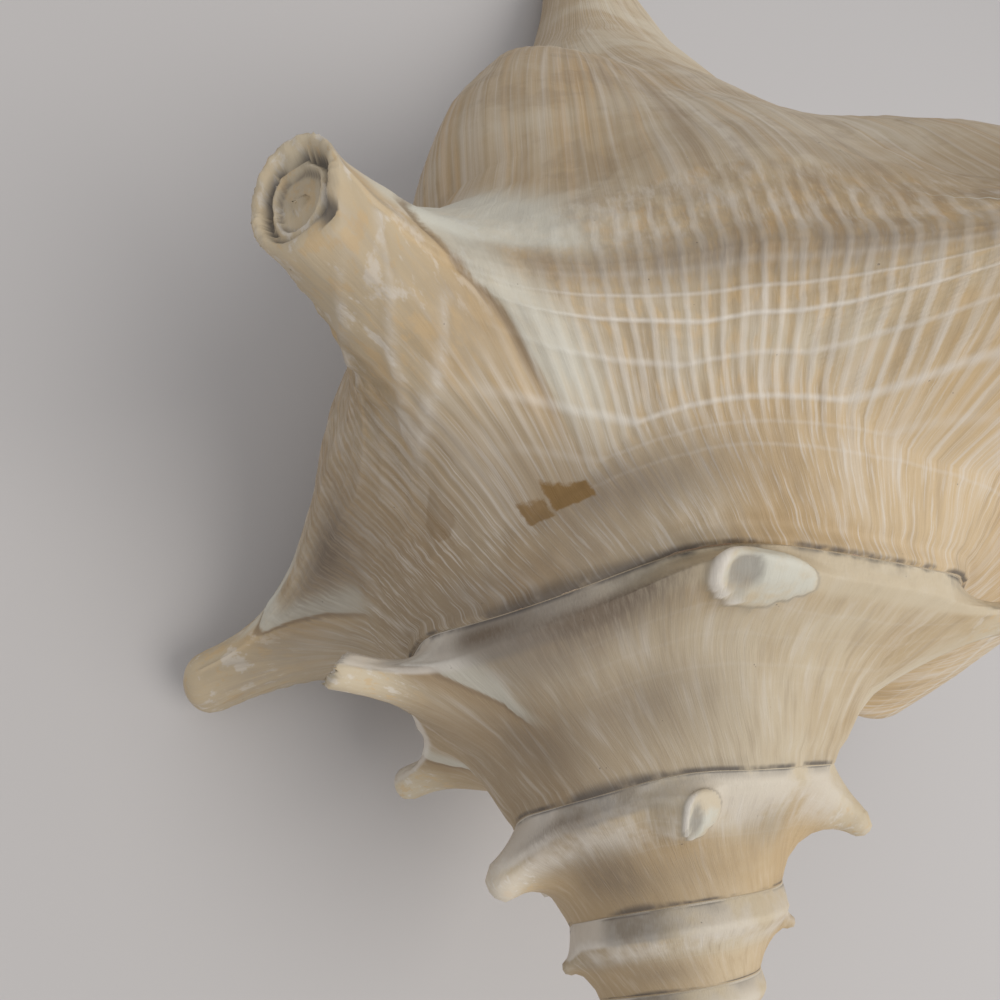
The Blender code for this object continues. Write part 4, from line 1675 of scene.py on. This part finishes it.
    def seams(self, at: ShellMap) -> list[Coat]:
        """Brown seam and smooth white band ahead of each spine.

        Args:
            at: the shell's map.

        Returns:
            The coats.
        """
        along = at.row.between(0.40, 0.62) * (1.0 - at.row.between(1.5, 1.95))
        along = along * at.sketch.attribute("beside")
        ahead = at.sketch.attribute("seam") + (at.hatch - 0.5) * 1.2
        behind = ahead.between(-7.0, -0.5) * (1.0 - ahead.between(-0.4, 0.2)) * along
        band = ahead.between(0.0, 0.8) * (1.0 - ahead.between(2.6, 6.0)) * along
        flank = at.near.between(0.08, 0.22) * at.row.between(1.15, 1.45) * ahead.between(-6.0, -2.0)
        return [
            (behind, 0.35, self.orange),
            (behind * at.old, 0.55, self.umber),
            (band, 0.64, self.cool_white),
            (flank * (1.0 - ahead.between(9.0, 16.0)), 0.62, self.cool_white),
            (ahead.hill(-0.1, 0.9) * along, 0.75, self.umber),
        ]

    def old_walls(self, at: ShellMap) -> list[Coat]:
        """Smooth grey ledge above the older whorls' keels, the grime along the sutures, and grey on the
        second whorl's ramp, partly its own tone and partly painted shade.

        Args:
            at: the shell's map.

        Returns:
            The coats.
        """
        ledge = at.sketch.mix(at.side.between(-8.0, 14.0), self.grey, self.cream)
        ledge = at.sketch.mix(at.side.between(-26.0, -38.0), ledge, self.white)
        older = 1.0 - at.turn.between(-1.62, -1.56)
        smudge = (at.row.between(1.3, 1.95) * at.old).most((1.0 - at.row.between(0.0, 0.10)) * 0.5)
        smudge = smudge.most(at.row.between(0.80, 1.00) * older * at.side.hill(-10.0, 34.0))
        dirty = at.side.hill(self.dirty_side, self.dirty_width)
        soot = (0.40 + dirty * 0.35) * (0.20 + 0.80 * at.side.between(-44.0, -34.0))
        # partly the second whorl's own grey, partly painted shade where it turns from the lamp
        greyer = at.row.between(0.50, 0.85) * at.old * (1.0 - older) * at.side.hill(-18.0, 30.0)
        line_end = 0.028 + at.side.hill(self.dirty_side, 28.0) * 0.05
        line = (at.row.between(1.80, 1.96) * at.old).most(1.0 - at.row.between(0.008, line_end))
        return [
            (at.row.between(0.90, 1.02) * at.old, 0.70, ledge),
            (at.row.between(0.45, 0.75) * older * at.blots.between(0.40, 0.58), 0.50, self.white),
            ((1.0 - at.row.between(0.35, 0.65)) * older, 0.35, self.orange),
            (smudge * at.blots.between(0.44, 0.62), soot, self.dirt_and_shade),
            (greyer, 0.45, self.grey),
            (line * (at.blots + dirty * 0.14).between(0.40, 0.58), 0.80, self.dirt_and_shade),
        ]

    def stain_and_shade_coats(self, at: ShellMap) -> list[Coat]:
        """Partly broad brown staining, partly painted shade where the whorls turn from the lamp, uneven and
        streaked along the growth lines.

        Args:
            at: the shell's map.

        Returns:
            The coats.
        """
        coats = []
        streaks = 0.60 + (at.hatch * 0.5 + at.clouds * 0.5).between(0.38, 0.62) * 0.65
        # partly real brown stains, partly painted shade on flanks and keels turned from the lamp
        for whorl, side, reach, row, height, strength in self.brown_stains_and_shade:
            end = whorl + GrowthForm.lip_turn
            mask = at.turn.band(end - 1.0, end, 0.01) * at.side.hill(side, reach) * at.row.hill(row, height)
            coats.append((mask * streaks, strength, self.stain_and_shade_brown))
        return coats

    def patches(self, at: ShellMap) -> list[Coat]:
        """Ochre patches left where an outer layer stays, bounded by growth lines and cords.

        Args:
            at: the shell's map.

        Returns:
            The coats.
        """
        coats = []
        ragged = at.grain - 0.5
        for start, end, low, high, strength in self.ochre_patches:
            across = (at.degrees + ragged * 1.2).band(start, end, 0.25)
            down = (at.row + ragged * 0.02).band(low, high, 0.005)
            coats.append((across * down, strength, self.ochre))
        return coats

    def scars(self, at: ShellMap) -> list[Coat]:
        """Smooth pale skin, white rim and grey facet of the worn spines.

        Args:
            at: the shell's map.

        Returns:
            The coats.
        """
        skin = at.sketch.mix(at.blots.between(0.42, 0.60), self.cool_white, self.cream)
        return [
            (at.worn, 0.85, skin),
            (at.worn.hill(0.35, 0.35), 0.30, self.dirt_and_shade),
            (at.sketch.attribute("rim").between(0.2, 0.8), 0.80, self.white),
            (at.sketch.attribute("facet"), 0.65, self.grey),
        ]

    def specks(self, at: ShellMap) -> list[Coat]:
        """Dark specks, and painted shade with grime in the spines' mouths."""
        return [(at.specks, 0.45, self.dirt_and_shade),
                # painted shade with grime in the spines' mouths
                (at.sketch.attribute("dark").between(0.05, 0.9), 0.80, self.dirt_and_shade)]


@dataclass(frozen=True)
class PaleFloor:
    """Plain pale floor with a faint mottle."""

    colour: Colour = tone(192, 188, 185)
    mottle: Colour = tone(182, 178, 174)
    mottle_scale: float = 6.0
    mottle_strength: float = 0.05
    roughness: float = 0.8

    def material(self) -> bpy.types.Material:
        """Build the finish.

        Returns:
            The material.
        """
        material = bpy.data.materials.new("pale_floor")
        sketch = Sketch(material)
        cloud = sketch.noise(sketch.place(), self.mottle_scale, 2.0, 0.5).between(0.3, 0.7)
        sketch.fill(sketch.tree.nodes["Principled BSDF"], {
            "Base Color": sketch.mix(cloud * self.mottle_strength, self.colour, self.mottle),
            "Roughness": self.roughness,
        })
        return material


# ---------------------------------------------------------------- studio

@dataclass(frozen=True)
class Lamp:
    """A soft round lamp that looks at the shell, in metres and watts."""

    name: str
    place: Triple
    size: float
    power: float
    tint: Colour
    target: Triple = (0.0, 0.0, 0.05)

    def hang(self) -> None:
        """Add the lamp to the scene."""
        data = bpy.data.lights.new(self.name, "AREA")
        data.shape = "DISK"
        data.size = self.size
        data.energy = self.power
        data.color = self.tint
        lamp = link_object(self.name, data)
        lamp.location = self.place
        lamp.rotation_euler = (Vector(self.target) - Vector(self.place)).to_track_quat("-Z", "Y").to_euler()


@dataclass
class Studio:
    """Floor, lamp, sky and camera."""

    shell: ConchShell
    floor_reach: float = 4.0       # metres from the middle to the floor's edges
    floor_gap: float = 0.00005     # metres between the floor and the shell
    camera_place: Triple = (-0.487, 0.894, 2.674)  # in shell units, in the shell's own frame
    camera_pitch: float = 29.74    # degrees about the shell's x axis
    camera_roll: float = -1.5      # degrees about the line of sight
    sensor: float = 36.0           # millimetres
    focal_share: float = 0.697     # focal length in sensor widths
    near_limit: float = 0.005      # metres
    sky: Colour = (0.93, 0.95, 1.0)
    sky_level: float = 0.67
    backdrop: Colour = tone(214, 212, 212)
    window: Lamp = Lamp("window", (0.46, -0.40, 1.04), 0.8, 6.2, (1.0, 0.97, 0.93))

    def build_floor(self) -> None:
        """Lay the floor."""
        mesh = bpy.data.meshes.new("floor")
        z = float(CAD_BOX[0][2]) - self.floor_gap
        corners = [(x * self.floor_reach, y * self.floor_reach, z)
                   for x, y in ((-1, -1), (1, -1), (1, 1), (-1, 1))]
        mesh.from_pydata(corners, [], [(0, 1, 2, 3)])
        mesh.materials.append(PaleFloor().material())
        link_object("floor", mesh)

    def place_camera(self) -> None:
        """Set the camera at the shell's own view."""
        turning = self.shell.rest.turning()
        place = turning @ np.array(self.camera_place) * UNIT * self.shell.scale + self.shell.shift
        pitch = Matrix.Rotation(math.radians(self.camera_pitch), 3, "X")
        roll = Matrix.Rotation(math.radians(self.camera_roll), 3, "Z")
        rotation = (Matrix(turning.tolist()) @ pitch @ roll).to_4x4()
        data = bpy.data.cameras.new("camera")
        data.sensor_width = self.sensor
        data.lens = self.sensor * self.focal_share
        data.clip_start = self.near_limit
        camera = link_object("camera", data)
        camera.matrix_world = Matrix.Translation(Vector(place)) @ rotation
        bpy.context.scene.camera = camera

    def light(self) -> None:
        """Soft light from the upper right, under a pale sky with a plain backdrop before it."""
        world = bpy.data.worlds.new("studio")
        sketch = Sketch(world)
        seen = sketch.node("ShaderNodeLightPath", {}, {}, "Is Camera Ray")
        seen = seen.most(sketch.node("ShaderNodeLightPath", {}, {}, "Is Glossy Ray"))
        backdrop = sketch.node("ShaderNodeBackground", {}, {"Color": (*self.backdrop, 1.0)})
        background = sketch.tree.nodes["Background"]
        sketch.fill(background, {"Color": (*self.sky, 1.0), "Strength": self.sky_level})
        sky = Value(sketch, background.outputs[0])
        choice = sketch.node("ShaderNodeMixShader", {}, {0: seen, 1: sky, 2: backdrop})
        sketch.fill(sketch.tree.nodes["World Output"], {"Surface": choice})
        bpy.context.scene.world = world
        self.window.hang()
        bpy.context.scene.view_settings.view_transform = "Standard"


def main() -> None:
    """Build the shell, its finish and the studio, and keep the boxes."""
    logging.basicConfig(level=logging.INFO, format="%(message)s")
    shell = ConchShell()
    body = shell.build()
    body.data.materials.append(WeatheredShell().material())
    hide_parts("shell")
    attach(body, "root")
    LOG.info("placed %s", body.name)
    studio = Studio(shell)
    studio.build_floor()
    studio.light()
    studio.place_camera()


if __name__ == "__main__":
    main()
